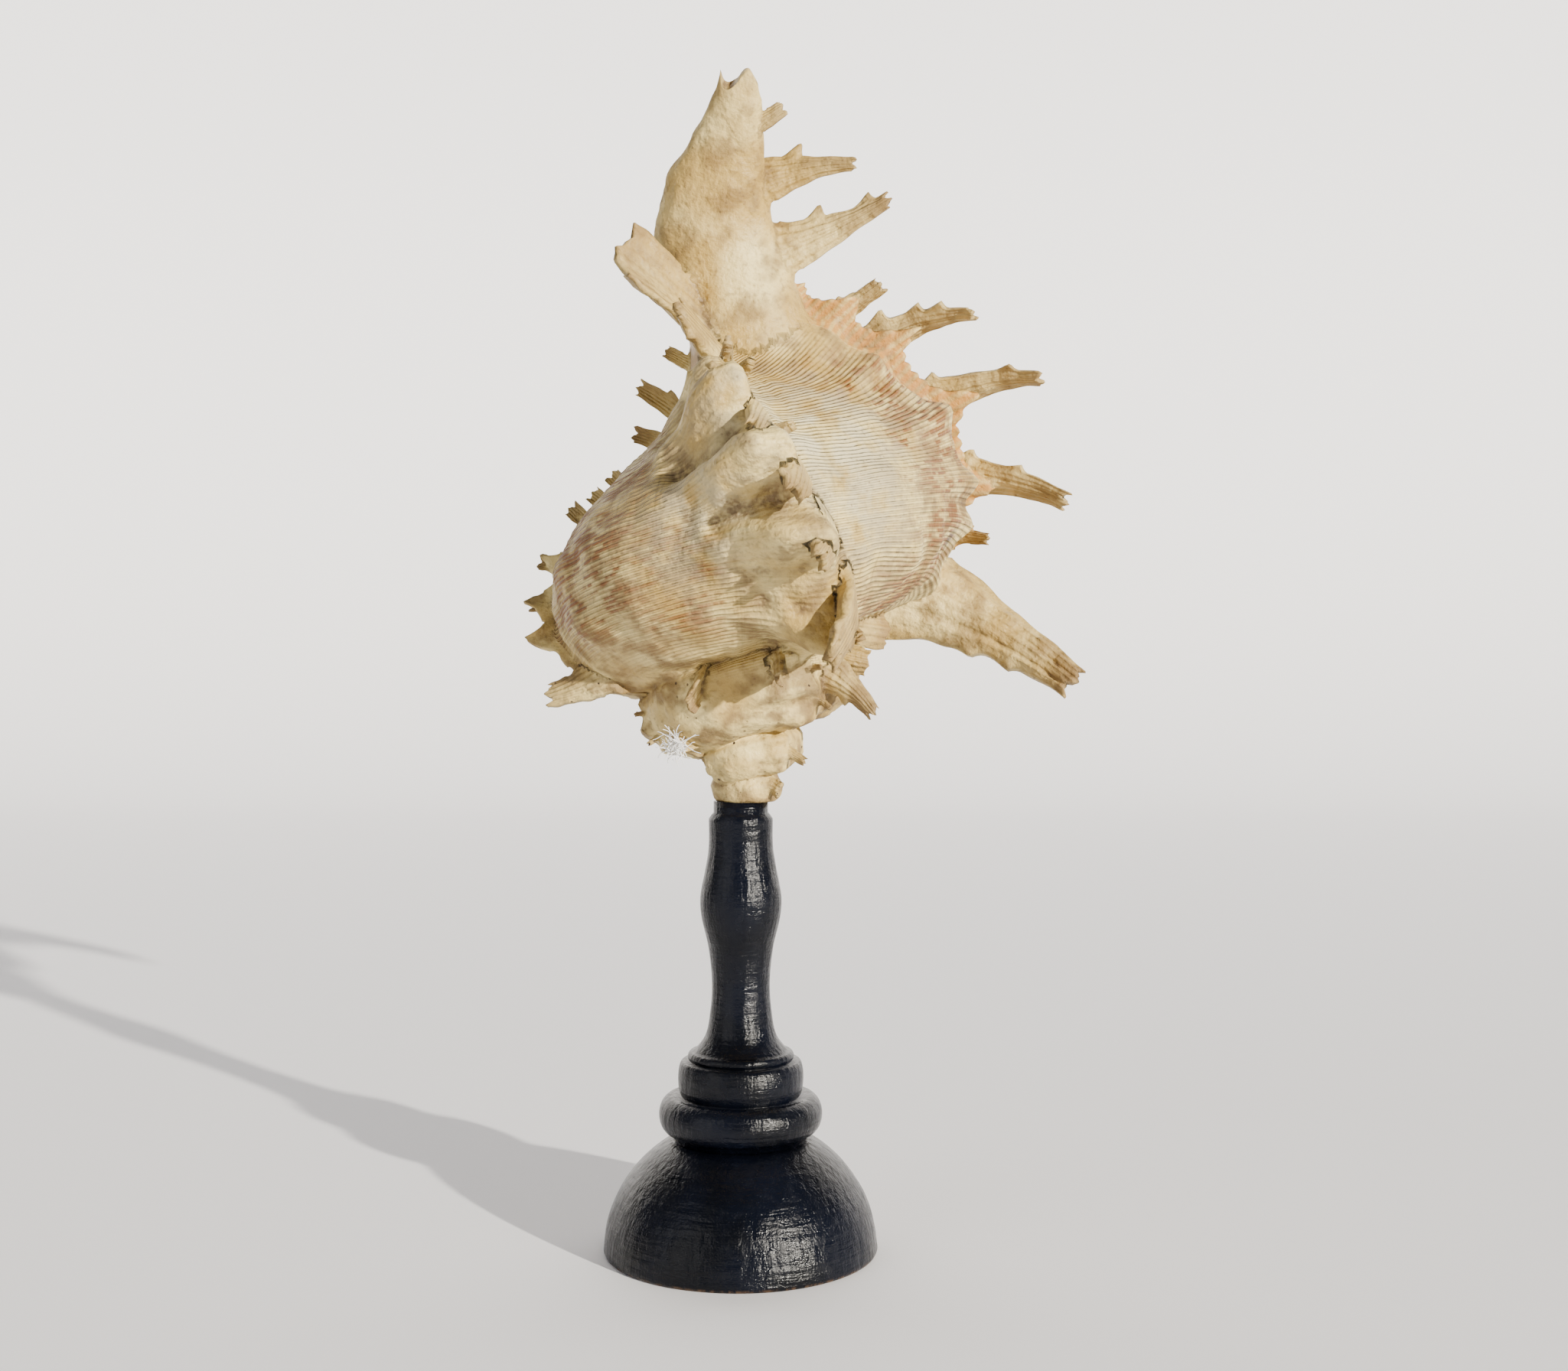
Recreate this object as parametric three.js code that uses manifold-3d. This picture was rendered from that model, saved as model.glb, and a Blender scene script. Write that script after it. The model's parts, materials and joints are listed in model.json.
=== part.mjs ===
// A ramose murex shell, mounted spire down on a turned wooden stand painted black.
// Millimetres, +Z up. The origin is the centre of the flat underside of the foot.
// Seen from the front, along +Y, the outer lip spreads its fronds to the right.

import * as THREE from "three";
import { mergeVertices } from "three/addons/utils/BufferGeometryUtils.js";
import Module from "manifold-3d";

const wasm = await Module();
wasm.setup();

// Driving dimensions of the stand
const FOOT_RADIUS = 31;
const FOOT_DOME = 29.2; // height of the whole dome, before its top is cut flat
const FOOT_TOP = 25;
const FOOT_EDGE = 0.8; // small bevel where the dome meets the table
const COLUMN_TOP = 101.5;
const NECK_RADIUS = 6.2;
const NECK_START = 99;
const LATHE_SIDES = 24;
const FOOT_POINTS = 8;
const BEAD_POINTS = 6;
const SHAFT_PARTS = 13;

// Turned beads of the column: radius, height of the middle, bulge, half height
const BEADS = [
  [15.6, 30.2, 2.9, 5],
  [13.2, 38.7, 1, 3.4],
  [11.2, 43.5, 0.8, 1.3],
];

// Baluster shaft above the beads: radius, height
const SHAFT = [
  [10.6, 45],
  [8, 48.6],
  [6.9, 54.5],
  [6.6, 61],
  [7.4, 68.5],
  [8.9, 75],
  [9.2, 80],
  [8, 86.5],
  [7.3, 91.5],
  [7.3, 97.5],
];

// Driving dimensions of the shell, a coil that doubles in size with each turn
const TURN_GROWTH = 2;
const LIP_ANGLE = 27; // degrees from +X round to the middle of the lip
const LEAN_LEFT = 4; // degrees
const LEAN_BACK = 4; // degrees
const APEX = new THREE.Vector3(1.5, -2, 97);
const WALL = 3.6;
const AXIS_RADIUS = 1;

// Outline of the last whorl at the lip: distance from the coil axis, height above the apex
const WHORL = new THREE.SplineCurve(
  [
    [27, 44],
    [43, 48.5],
    [53.5, 59],
    [58, 72],
    [57, 85],
    [49.5, 97],
    [39, 107],
    [28, 115.5],
    [18.5, 123],
    [12, 131],
    [7, 140],
  ].map(([radius, height]) => new THREE.Vector2(radius, height)),
);

// Varices, in degrees of growth before the lip
const LIP = 0;
const FRONT_VARIX = -95;
const LEFT_VARIX = -210;
const SPIRE_VARICES = [-325, -440, -555, -670, -785];
const FIRST_GROWTH = -900;
const HOLLOW_STAGES = 2;
const VARIX_HEIGHT = 4.4;
const VARIX_DROP = 0.05; // share of a stage over which a varix falls away in front
const VARIX_SWELL = 0.55; // share of a stage where the next varix starts to rise
const VARIX_FADE = [0.06, 0.99]; // part of a half wave that lowers a varix at suture and canal

// Low knob on the shoulder between two varices
const KNOB_HEIGHT = 2.2;
const KNOB_STEP = 0.42;
const KNOB_SHARE = 0.26;
const KNOB_SPREAD = 0.1;

// Growth lines in degrees: how far they run ahead at the suture, fall behind and ease off
const SLANT_AHEAD = 26;
const SLANT_FALL = 92;
const SLANT_EASE = 46;

// Grid of a growth stage
const BODY_STAGES = 3;
const BODY_SHARES = evenly(19);
const SPIRE_SHARES = [0, 0.1, 0.2, 0.3, 0.4, 0.5, 0.7, 1];
const INNER_SHARES = evenly(8);
const BODY_STEPS = [-0.06, 0, 0.06, 0.18, 0.34, 0.5, 0.64, 0.77, 0.88, 0.95, 1];
const SPIRE_STEPS = [-0.06, 0, 0.05, 0.22, 0.42, 0.65, 0.85, 1];

// Pillar that the whorls wind round: height above the apex, radius
const COLUMELLA = [
  [34, 6],
  [70, 6.5],
  [105, 7.5],
  [125, 9],
];
const COLUMELLA_SIDES = 12;

// Worn stump of the sawn spire: height, radius
const STUMP = [
  [100, 7.4],
  [104, 8.2],
  [108, 7],
];
const STUMP_ASIDE = 1.2;
const STUMP_SIDES = 11;
const SAW_BLOCK = 200;

// Siphonal canal: centre, half width, half depth
const CANAL = [
  [2, 6, 203, 12, 10],
  [-0.5, 5, 216, 15, 9.5],
  [-5.3, 2.5, 228, 14.2, 8.5],
  [-5.8, -2.5, 239, 11.8, 6.8],
  [-3, -9, 249, 8.3, 5],
  [-0.6, -15, 257, 4.6, 3.2],
  [0.6, -17.5, 259.8, 3.8, 2.4],
];
const CANAL_SIDES = 12;
const SLIT_WIDTH = 2.6;

// Frilled web between the fronds of the lip
const WEB_FROM = 0.12;
const WEB_TO = 0.96;
const WEB_REACH = 3.6;
const WEB_THICK = 2.4;
const WEB_EDGE = 0.7;
const WEB_PARTS = 28;
const WEB_LEAN = 0.5;
const WEB_SCALLOP = 0.25;
const WEB_WAVE = 1.9; // radians of scallop from one part to the next
const WEB_FADE = [0.04, 0.96];

const FROND_SIDES = 6;
const STUB_SIDES = 5;
const FROND_STEPS = [0, 0.35, 0.7, 1];
const STUB_STEPS = [0, 0.5, 1];
const STUB_LENGTH = 20; // a frond shorter than this is a stub
const FROND_BURY = 5;
const FROND_TAPER = 1.5;
const FROND_DEPTH = [0.55, 0.32]; // share of the half width, at root and tip
const SPIKE_LEAN = 0.8;
const SPIKE_SLIM = 0.22; // radius of a spike as a share of its length
const SPIKE_SIDES = 5;

const { degToRad, lerp, smoothstep } = THREE.MathUtils;

// Solids

function closedSolid(points, triangles) {
  const build = (faces) =>
    new wasm.Manifold(
      new wasm.Mesh({
        numProp: 3,
        vertProperties: Float32Array.from(points.flatMap((point) => point.toArray())),
        triVerts: Uint32Array.from(faces.flat()),
      }),
    );
  const solid = build(triangles);
  return solid.volume() > 0 ? solid : build(triangles.map(([a, b, c]) => [a, c, b]));
}

function solidOf(geometry) {
  geometry.deleteAttribute("normal");
  geometry.deleteAttribute("uv");
  const merged = mergeVertices(geometry);
  const position = merged.getAttribute("position");
  const points = [];
  for (let i = 0; i < position.count; i += 1) {
    points.push(new THREE.Vector3().fromBufferAttribute(position, i));
  }
  const triangles = [];
  for (let i = 0; i < merged.index.count; i += 3) {
    triangles.push([0, 1, 2].map((corner) => merged.index.getX(i + corner)));
  }
  return closedSolid(points, triangles);
}

function geometryOf(solid) {
  const { vertProperties, triVerts } = solid.getMesh();
  const geometry = new THREE.BufferGeometry();
  geometry.setAttribute("position", new THREE.BufferAttribute(vertProperties, 3));
  geometry.setIndex(new THREE.BufferAttribute(triVerts, 1));
  geometry.computeVertexNormals();
  return geometry;
}

function union(solids) {
  return solids.reduce((whole, solid) => whole.add(solid));
}

function fan(count) {
  return Array.from({ length: count - 2 }, (_, i) => [0, i + 1, i + 2]);
}

// Closed skin over a row of loops that have the same number of points
function loft(loops, cap) {
  const count = loops[0].length;
  const triangles = [];
  for (let row = 0; row + 1 < loops.length; row += 1) {
    for (let i = 0; i < count; i += 1) {
      const a = row * count + i;
      const b = row * count + ((i + 1) % count);
      triangles.push([a, b, b + count], [a, b + count, a + count]);
    }
  }
  const last = (loops.length - 1) * count;
  for (const [a, b, c] of cap) {
    triangles.push([c, b, a], [last + a, last + b, last + c]);
  }
  return closedSolid(loops.flat(), triangles);
}

function ring(centre, across, normal, halfWidth, halfDepth, sides) {
  return Array.from({ length: sides }, (_, i) => {
    const turn = (2 * Math.PI * i) / sides;
    return centre
      .clone()
      .addScaledVector(across, halfWidth * Math.cos(turn))
      .addScaledVector(normal, halfDepth * Math.sin(turn));
  });
}

function evenly(count) {
  return Array.from({ length: count }, (_, i) => i / (count - 1));
}

// Stand

function latheMesh(name, outline, material) {
  const geometry = new THREE.LatheGeometry(outline, LATHE_SIDES);
  geometry.rotateX(Math.PI / 2);
  const mesh = new THREE.Mesh(geometryOf(solidOf(geometry)), material);
  mesh.name = name;
  return mesh;
}

function footOutline() {
  const outline = [new THREE.Vector2(0, 0), new THREE.Vector2(FOOT_RADIUS - FOOT_EDGE, 0)];
  const first = Math.asin(FOOT_EDGE / FOOT_DOME);
  const last = Math.asin(FOOT_TOP / FOOT_DOME);
  for (const share of evenly(FOOT_POINTS)) {
    const turn = lerp(first, last, share);
    outline.push(new THREE.Vector2(FOOT_RADIUS * Math.cos(turn), FOOT_DOME * Math.sin(turn)));
  }
  outline.push(new THREE.Vector2(0, FOOT_TOP));
  return outline;
}

function columnOutline() {
  const outline = [new THREE.Vector2(0, FOOT_TOP)];
  for (const [radius, middle, bulge, half] of BEADS) {
    for (const share of evenly(BEAD_POINTS)) {
      const turn = lerp(-Math.PI / 2, Math.PI / 2, share);
      const height = Math.max(FOOT_TOP, middle + half * Math.sin(turn));
      outline.push(new THREE.Vector2(radius + bulge * Math.cos(turn), height));
    }
  }
  const shaft = new THREE.SplineCurve(SHAFT.map(([radius, height]) => new THREE.Vector2(radius, height)));
  outline.push(...shaft.getPoints(SHAFT_PARTS));
  outline.push(new THREE.Vector2(NECK_RADIUS, NECK_START));
  outline.push(new THREE.Vector2(NECK_RADIUS, COLUMN_TOP));
  outline.push(new THREE.Vector2(0, COLUMN_TOP));
  return outline;
}

// Coil of the shell

const SHELL_PLACE = new THREE.Matrix4()
  .makeTranslation(APEX)
  .multiply(new THREE.Matrix4().makeRotationX(degToRad(-LEAN_BACK)))
  .multiply(new THREE.Matrix4().makeRotationY(degToRad(-LEAN_LEFT)));

function placed(angle, radius, height) {
  const turn = degToRad(LIP_ANGLE + angle);
  const size = TURN_GROWTH ** (angle / 360);
  return new THREE.Vector3(radius * Math.cos(turn), radius * Math.sin(turn), height)
    .multiplyScalar(size)
    .applyMatrix4(SHELL_PLACE);
}

function coilPoint(angle, share, lift) {
  const outline = WHORL.getPoint(share);
  const along = WHORL.getTangent(share);
  return placed(angle, outline.x + lift * along.y, outline.y - lift * along.x);
}

// Growth lines lean: they run ahead at the suture and fall behind at the canal
function slant(share) {
  return SLANT_AHEAD - SLANT_FALL * share + SLANT_EASE * share * share;
}

function bump(value, middle, spread) {
  return Math.exp(-(((value - middle) / spread) ** 2));
}

// A stage starts inside the varix before it, drops in front of it and swells into the next one
function stageLift(step, share) {
  if (step < 0) {
    return 0;
  }
  const drop = Math.max(0, 1 - step / VARIX_DROP);
  const swell = smoothstep(step, VARIX_SWELL, 1);
  const fade = Math.sqrt(Math.sin(Math.PI * lerp(...VARIX_FADE, share)));
  const knob = bump(step, KNOB_STEP, KNOB_SPREAD) * bump(share, KNOB_SHARE, KNOB_SPREAD);
  return VARIX_HEIGHT * Math.max(drop, swell) * fade + KNOB_HEIGHT * knob;
}

function stageLoop(older, newer, step, shares, hollow) {
  const middle = lerp(older, newer, step);
  const outer = shares.map((share) => coilPoint(middle + slant(share), share, stageLift(step, share)));
  if (hollow) {
    const depth = step < 0 ? WALL / 2 : WALL;
    const inner = INNER_SHARES.map((share) => coilPoint(middle + slant(share), share, -depth));
    return [...outer, ...inner.reverse()];
  }
  const foot = WHORL.getPoint(0);
  const head = WHORL.getPoint(1);
  return [
    ...outer,
    placed(middle + slant(1), AXIS_RADIUS, head.y),
    placed(middle + slant(0), AXIS_RADIUS, foot.y),
  ];
}

function stageCap(shares, hollow) {
  const outer = shares.map((share) => WHORL.getPoint(share));
  const inner = INNER_SHARES.map((share) => {
    const along = WHORL.getTangent(share);
    return WHORL.getPoint(share).add(new THREE.Vector2(-WALL * along.y, WALL * along.x));
  });
  const axis = [1, 0].map((share) => new THREE.Vector2(AXIS_RADIUS, WHORL.getPoint(share).y));
  return THREE.ShapeUtils.triangulateShape([...outer, ...(hollow ? inner.reverse() : axis)], []);
}

function coilSolids() {
  const ends = [LIP, FRONT_VARIX, LEFT_VARIX, ...SPIRE_VARICES, FIRST_GROWTH];
  const solids = [];
  for (let stage = 0; stage + 1 < ends.length; stage += 1) {
    const hollow = stage < HOLLOW_STAGES;
    const inBody = stage < BODY_STAGES;
    const shares = inBody ? BODY_SHARES : SPIRE_SHARES;
    const steps = inBody ? BODY_STEPS : SPIRE_STEPS;
    const loops = steps.map((step) => stageLoop(ends[stage + 1], ends[stage], step, shares, hollow));
    solids.push(loft(loops, stageCap(shares, hollow)));
  }
  return solids;
}

function levelRing(centre, radius, sides) {
  return ring(centre, new THREE.Vector3(1, 0, 0), new THREE.Vector3(0, 1, 0), radius, radius, sides);
}

function columella() {
  const loops = COLUMELLA.map(([height, radius]) =>
    levelRing(placed(0, 0, height), radius, COLUMELLA_SIDES),
  );
  return loft(loops, fan(COLUMELLA_SIDES));
}

// The stump sits on the neck of the column
function spireStump() {
  const loops = STUMP.map(([height, radius]) =>
    levelRing(new THREE.Vector3(STUMP_ASIDE, 0, height), radius, STUMP_SIDES),
  );
  return loft(loops, fan(STUMP_SIDES));
}

// Canal

function canalLoops(shape) {
  const curve = new THREE.CatmullRomCurve3(CANAL.map(([x, y, z]) => new THREE.Vector3(x, y, z)));
  const across = new THREE.Vector3(1, 0, 0);
  return CANAL.map(([, , , halfWidth, halfDepth], i) => {
    const share = i / (CANAL.length - 1);
    const normal = new THREE.Vector3().crossVectors(curve.getTangent(share), across).normalize();
    return shape(curve.getPoint(share), across, normal, halfWidth, halfDepth);
  });
}

function canal() {
  const loops = canalLoops((centre, across, normal, halfWidth, halfDepth) =>
    ring(centre, across, normal, halfWidth, halfDepth, CANAL_SIDES),
  );
  return loft(loops, fan(CANAL_SIDES));
}

// Narrow slit along the hidden side of the canal
function canalSlit() {
  const half = SLIT_WIDTH / 2;
  const loops = canalLoops((centre, across, normal, halfWidth, halfDepth) => {
    const away = normal.y > 0 ? normal : normal.clone().negate();
    return [
      [-half, 0],
      [half, 0],
      [half, 2 * halfDepth],
      [-half, 2 * halfDepth],
    ].map(([aside, back]) => centre.clone().addScaledVector(across, aside).addScaledVector(away, back));
  });
  const [, ...open] = loops;
  return loft(open, fan(4));
}

// Fronds

// Each frond: where it grows on its varix, its tip, its width at root and tip,
// how far its middle bows, and side spikes as place along it, side and length
const LIP_FRONDS = [
  {
    share: 0.145, tip: [79.8, 18, 126.8], width: [24, 7], bow: [2, 4, 0],
    spikes: [[0.55, 1, 5], [0.9, 1, 6]],
  },
  { share: 0.265, tip: [59.4, 24, 162.9], width: [8, 3], bow: [0, 2, 0], spikes: [] },
  {
    share: 0.345, tip: [77.5, 14, 170.1], width: [11, 4], bow: [0, 4, 4],
    spikes: [[0.28, 1, 6], [0.62, 1, 5]],
  },
  {
    share: 0.46, tip: [70.8, 10, 198.9], width: [12, 3], bow: [0, 4, 4],
    spikes: [[0.25, 1, 6], [0.8, 1, 4]],
  },
  {
    share: 0.6, tip: [54.3, 4, 212.6], width: [11, 3], bow: [0, 3, 4],
    spikes: [[0.3, 1, 6], [0.65, 1, 5]],
  },
  { share: 0.69, tip: [32.7, 4, 220], width: [7, 3], bow: [0, 2, 0], spikes: [] },
  {
    root: [7, 2, 227], tip: [34.4, -3, 238], width: [13, 3], bow: [0, 2, -1],
    spikes: [[0.5, 1, 6], [0.85, 1, 4]],
  },
  { root: [3, -3, 239.5], tip: [26.4, -8, 243.8], width: [12, 2], bow: [0, 1, 2], spikes: [[0.5, 1, 6]] },
  { root: [0, -11, 251], tip: [10.1, -14, 254.7], width: [7, 3], bow: [0, 0, -1], spikes: [] },
  { root: [-1.5, -16, 257.5], tip: [-1.6, -19, 262.3], width: [4.5, 1.5], bow: [0, 0, 0], spikes: [] },
  { root: [1.5, -16, 257.5], tip: [4.4, -19, 261.6], width: [4.5, 1.5], bow: [0, 0, 0], spikes: [] },
];

const FRONT_FRONDS = [
  { share: 0.99, tip: [-22.5, -23, 223], width: [9, 20], bow: [0, 0, 2], spikes: [] },
  { share: 0.86, tip: [-13, -26, 209.5], width: [8, 10], bow: [0, 0, 0], spikes: [] },
  { share: 0.77, tip: [-2.2, -30, 200.8], width: [7, 3], bow: [0, 0, 0], spikes: [[0.6, 1, 3]] },
  { share: 0.72, tip: [3.2, -36, 195.3], width: [6, 3], bow: [0, 0, 0], spikes: [] },
  { share: 0.65, tip: [-7.6, -44, 189.5], width: [8, 11], bow: [2, 0, 1], spikes: [] },
  { share: 0.52, tip: [0.5, -56, 176.1], width: [9, 13], bow: [2, 0, 2], spikes: [] },
  { share: 0.5, tip: [12.4, -44, 180.6], width: [6, 2], bow: [0, -1, 0], spikes: [] },
  { share: 0.4, tip: [9.1, -63, 164], width: [9, 12], bow: [2, 0, 2], spikes: [] },
  { share: 0.28, tip: [14.7, -63, 153.2], width: [8, 9], bow: [2, 0, 1], spikes: [] },
  { share: 0.15, tip: [12.9, -55, 129.8], width: [16, 9], bow: [3, -2, 2], spikes: [[0.8, -1, 4]] },
  { share: 0.09, tip: [26, -40, 136.8], width: [8, 3], bow: [0, 0, 0], spikes: [] },
];

const LEFT_FRONDS = [
  { root: [-13, 4, 202], tip: [-17.7, 3, 204.4], width: [5, 3], bow: [0, 0, 0], spikes: [] },
  { share: 0.99, tip: [-24.7, 6, 197], width: [7, 3], bow: [0, 0, 1], spikes: [[0.6, 1, 3]] },
  { share: 0.92, tip: [-25.9, 8, 186.3], width: [6, 4], bow: [0, 0, 0], spikes: [] },
  { share: 0.68, tip: [-31, 9, 177.2], width: [5, 4], bow: [0, 0, 0], spikes: [] },
  { share: 0.62, tip: [-35.4, 9, 172.8], width: [5, 4], bow: [0, 0, 0], spikes: [] },
  { share: 0.55, tip: [-40.4, 9, 169.6], width: [5, 4], bow: [0, 0, 0], spikes: [] },
  { share: 0.45, tip: [-47.7, 9, 156.6], width: [6, 4], bow: [0, 0, 0], spikes: [] },
  { share: 0.35, tip: [-49, 6, 146.4], width: [6, 4], bow: [0, 0, 0], spikes: [] },
  { share: 0.26, tip: [-46.1, 2, 139.9], width: [6, 4], bow: [0, 0, 0], spikes: [] },
  { share: 0.13, tip: [-44.8, -4, 124.9], width: [11, 4], bow: [0, 0, -1], spikes: [] },
];

const SPIRE_FRONDS = [
  { root: [22, -14, 127], tip: [30, -18, 120.6], width: [9, 3], bow: [0, 0, 0], spikes: [[0.6, -1, 3]] },
  { root: [22, -9, 134], tip: [29, -9, 132.5], width: [7, 5], bow: [0, 0, 0], spikes: [] },
  { root: [9, -24, 133], tip: [9.2, -36, 128.8], width: [8, 3], bow: [0, 0, 0], spikes: [] },
  { root: [-7, -20, 129], tip: [-9.9, -29, 123.5], width: [6, 4], bow: [0, 0, 0], spikes: [] },
  { root: [-6, -9, 117], tip: [-13.5, -16, 115], width: [5, 4], bow: [0, 0, 0], spikes: [] },
  { root: [9, -7, 114], tip: [14.8, -12, 110.5], width: [4, 2], bow: [0, 0, 0], spikes: [] },
  { root: [5, -3, 106.5], tip: [9.4, -7, 103.8], width: [4, 3], bow: [0, 0, 0], spikes: [] },
];

// Short shoulder spines where older varices show on the far side of the spire
const SPINE_SHARES = [0.2, 0.32];
const SPINE_REACH = 8;
const SPINE_WIDTH = [9, 3];
const UPRIGHT = new THREE.Vector3(0, 0, 1);

function varixPoint(varix, share, lift) {
  return coilPoint(varix + slant(share), share, lift);
}

function varixAlong(varix, share) {
  const step = 0.01;
  const ahead = varixPoint(varix, Math.min(1, share + step), 0);
  return ahead.sub(varixPoint(varix, Math.max(0, share - step), 0)).normalize();
}

function frond(root, along, { tip, width, bow, spikes }) {
  const end = new THREE.Vector3(...tip);
  const inward = root.clone().sub(end).setLength(FROND_BURY);
  const start = root.clone().add(inward);
  const middle = start.clone().lerp(end, 0.5).add(new THREE.Vector3(...bow));
  const curve = new THREE.CatmullRomCurve3([start, middle, end]);
  const [rootWidth, tipWidth] = width;
  const at = (share) => {
    const forward = curve.getTangent(share);
    const across = along.clone().addScaledVector(forward, -along.dot(forward)).normalize();
    const normal = new THREE.Vector3().crossVectors(forward, across);
    const halfWidth = (tipWidth + (rootWidth - tipWidth) * (1 - share) ** FROND_TAPER) / 2;
    return { centre: curve.getPoint(share), forward, across, normal, halfWidth };
  };
  const stub = start.distanceTo(end) < STUB_LENGTH;
  const steps = stub ? STUB_STEPS : FROND_STEPS;
  const sides = stub ? STUB_SIDES : FROND_SIDES;
  const loops = steps.map((share) => {
    const { centre, across, normal, halfWidth } = at(share);
    const halfDepth = lerp(...FROND_DEPTH, share) * Math.min(halfWidth, rootWidth / 2);
    return ring(centre, across, normal, halfWidth, halfDepth, sides);
  });
  const blade = loft(loops, fan(sides));
  return union([blade, ...spikes.map(([share, side, length]) => spike(at(share), side, length))]);
}

function spike({ centre, forward, across, halfWidth }, side, length) {
  const out = across.clone().multiplyScalar(side).addScaledVector(forward, SPIKE_LEAN).normalize();
  const whole = length + halfWidth;
  const cone = new THREE.ConeGeometry(SPIKE_SLIM * whole, whole, SPIKE_SIDES);
  cone.translate(0, whole / 2, 0);
  cone.applyQuaternion(new THREE.Quaternion().setFromUnitVectors(new THREE.Vector3(0, 1, 0), out));
  cone.translate(...centre.toArray());
  return solidOf(cone);
}

function frondsOn(varix, list) {
  return list.map((shape) => {
    const root = shape.root ? new THREE.Vector3(...shape.root) : varixPoint(varix, shape.share, 1);
    const along = shape.root ? UPRIGHT : varixAlong(varix, shape.share);
    return frond(root, along, shape);
  });
}

function spireSpines() {
  return SPIRE_VARICES.slice(1, 4).flatMap((varix) =>
    SPINE_SHARES.map((share) => {
      const size = TURN_GROWTH ** (varix / 360);
      const tip = varixPoint(varix, share, VARIX_HEIGHT + SPINE_REACH).toArray();
      const width = SPINE_WIDTH.map((value) => value * size);
      return frond(varixPoint(varix, share, 1), varixAlong(varix, share), {
        tip,
        width,
        bow: [0, 0, 0],
        spikes: [],
      });
    }),
  );
}

// The web stands out from the lip and leans back over the whorl, as the fronds do
function lipWeb() {
  const loops = evenly(WEB_PARTS).map((part) => {
    const share = lerp(WEB_FROM, WEB_TO, part);
    const crest = varixPoint(LIP, share, 0);
    const outward = varixPoint(LIP, share, 1).sub(crest);
    const forward = varixPoint(LIP + 1, share, 0).sub(crest).normalize();
    const lean = outward.clone().addScaledVector(forward, -WEB_LEAN).normalize();
    const scallop = 1 - WEB_SCALLOP + WEB_SCALLOP * Math.cos(part * WEB_PARTS * WEB_WAVE);
    const taper = Math.sqrt(Math.sin(Math.PI * lerp(...WEB_FADE, part)));
    const edge = crest.clone().addScaledVector(lean, VARIX_HEIGHT + WEB_REACH * scallop * taper);
    const side = new THREE.Vector3().crossVectors(lean, varixAlong(LIP, share)).normalize();
    return [
      crest.clone().addScaledVector(side, WEB_THICK),
      edge.clone().addScaledVector(side, WEB_EDGE),
      edge.clone().addScaledVector(side, -WEB_EDGE),
      crest.clone().addScaledVector(side, -WEB_THICK),
    ];
  });
  return loft(loops, fan(4));
}

function sawCut() {
  const block = new THREE.BoxGeometry(SAW_BLOCK, SAW_BLOCK, SAW_BLOCK);
  block.translate(0, 0, COLUMN_TOP - SAW_BLOCK / 2);
  return solidOf(block);
}

function shellSolid() {
  const grown = union([
    ...coilSolids(),
    columella(),
    spireStump(),
    canal(),
    lipWeb(),
    ...frondsOn(LIP, LIP_FRONDS),
    ...frondsOn(FRONT_VARIX, FRONT_FRONDS),
    ...frondsOn(LEFT_VARIX, LEFT_FRONDS),
    ...frondsOn(SPIRE_VARICES[1], SPIRE_FRONDS),
    ...spireSpines(),
  ]);
  return grown.subtract(canalSlit()).subtract(sawCut());
}

// Assembly

const shellLime = new THREE.MeshStandardMaterial({ color: 0xd9c8a3, roughness: 0.7, metalness: 0 });
const blackPaint = new THREE.MeshStandardMaterial({ color: 0x0c0d14, roughness: 0.35, metalness: 0 });
const footPaint = blackPaint.clone();

const shell = new THREE.Mesh(geometryOf(shellSolid()), shellLime);
shell.name = "shell";

const murex = new THREE.Group();
murex.add(
  latheMesh("dome_foot", footOutline(), footPaint),
  latheMesh("turned_column", columnOutline(), blackPaint),
  shell,
);

export default murex;
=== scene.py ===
"""Looks of a ramose murex shell, mounted spire down on a turned stand painted black.

Shapes are worked out in millimetres in the frame's own axes and become metres when a mesh is made.
"""

import json
import math

import bmesh
import bpy
import numpy as np
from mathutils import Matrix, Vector, kdtree

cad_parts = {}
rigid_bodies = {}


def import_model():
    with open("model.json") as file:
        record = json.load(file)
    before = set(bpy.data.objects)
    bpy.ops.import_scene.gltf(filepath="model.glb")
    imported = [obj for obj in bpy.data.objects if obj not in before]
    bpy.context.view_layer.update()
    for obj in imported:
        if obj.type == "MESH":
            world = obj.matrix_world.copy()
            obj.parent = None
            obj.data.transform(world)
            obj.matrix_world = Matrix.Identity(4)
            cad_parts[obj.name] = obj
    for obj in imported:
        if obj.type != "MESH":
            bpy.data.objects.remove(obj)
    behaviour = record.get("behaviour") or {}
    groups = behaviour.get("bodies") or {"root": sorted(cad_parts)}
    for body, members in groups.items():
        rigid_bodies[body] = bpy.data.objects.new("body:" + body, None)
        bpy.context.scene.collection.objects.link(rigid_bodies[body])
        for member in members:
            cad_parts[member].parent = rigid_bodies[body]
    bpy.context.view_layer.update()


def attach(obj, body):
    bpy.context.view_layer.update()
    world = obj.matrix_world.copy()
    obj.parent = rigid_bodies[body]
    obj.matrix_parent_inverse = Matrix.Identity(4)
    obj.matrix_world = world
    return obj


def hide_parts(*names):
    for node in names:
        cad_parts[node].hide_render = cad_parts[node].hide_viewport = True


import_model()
MM = 0.001

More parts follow.
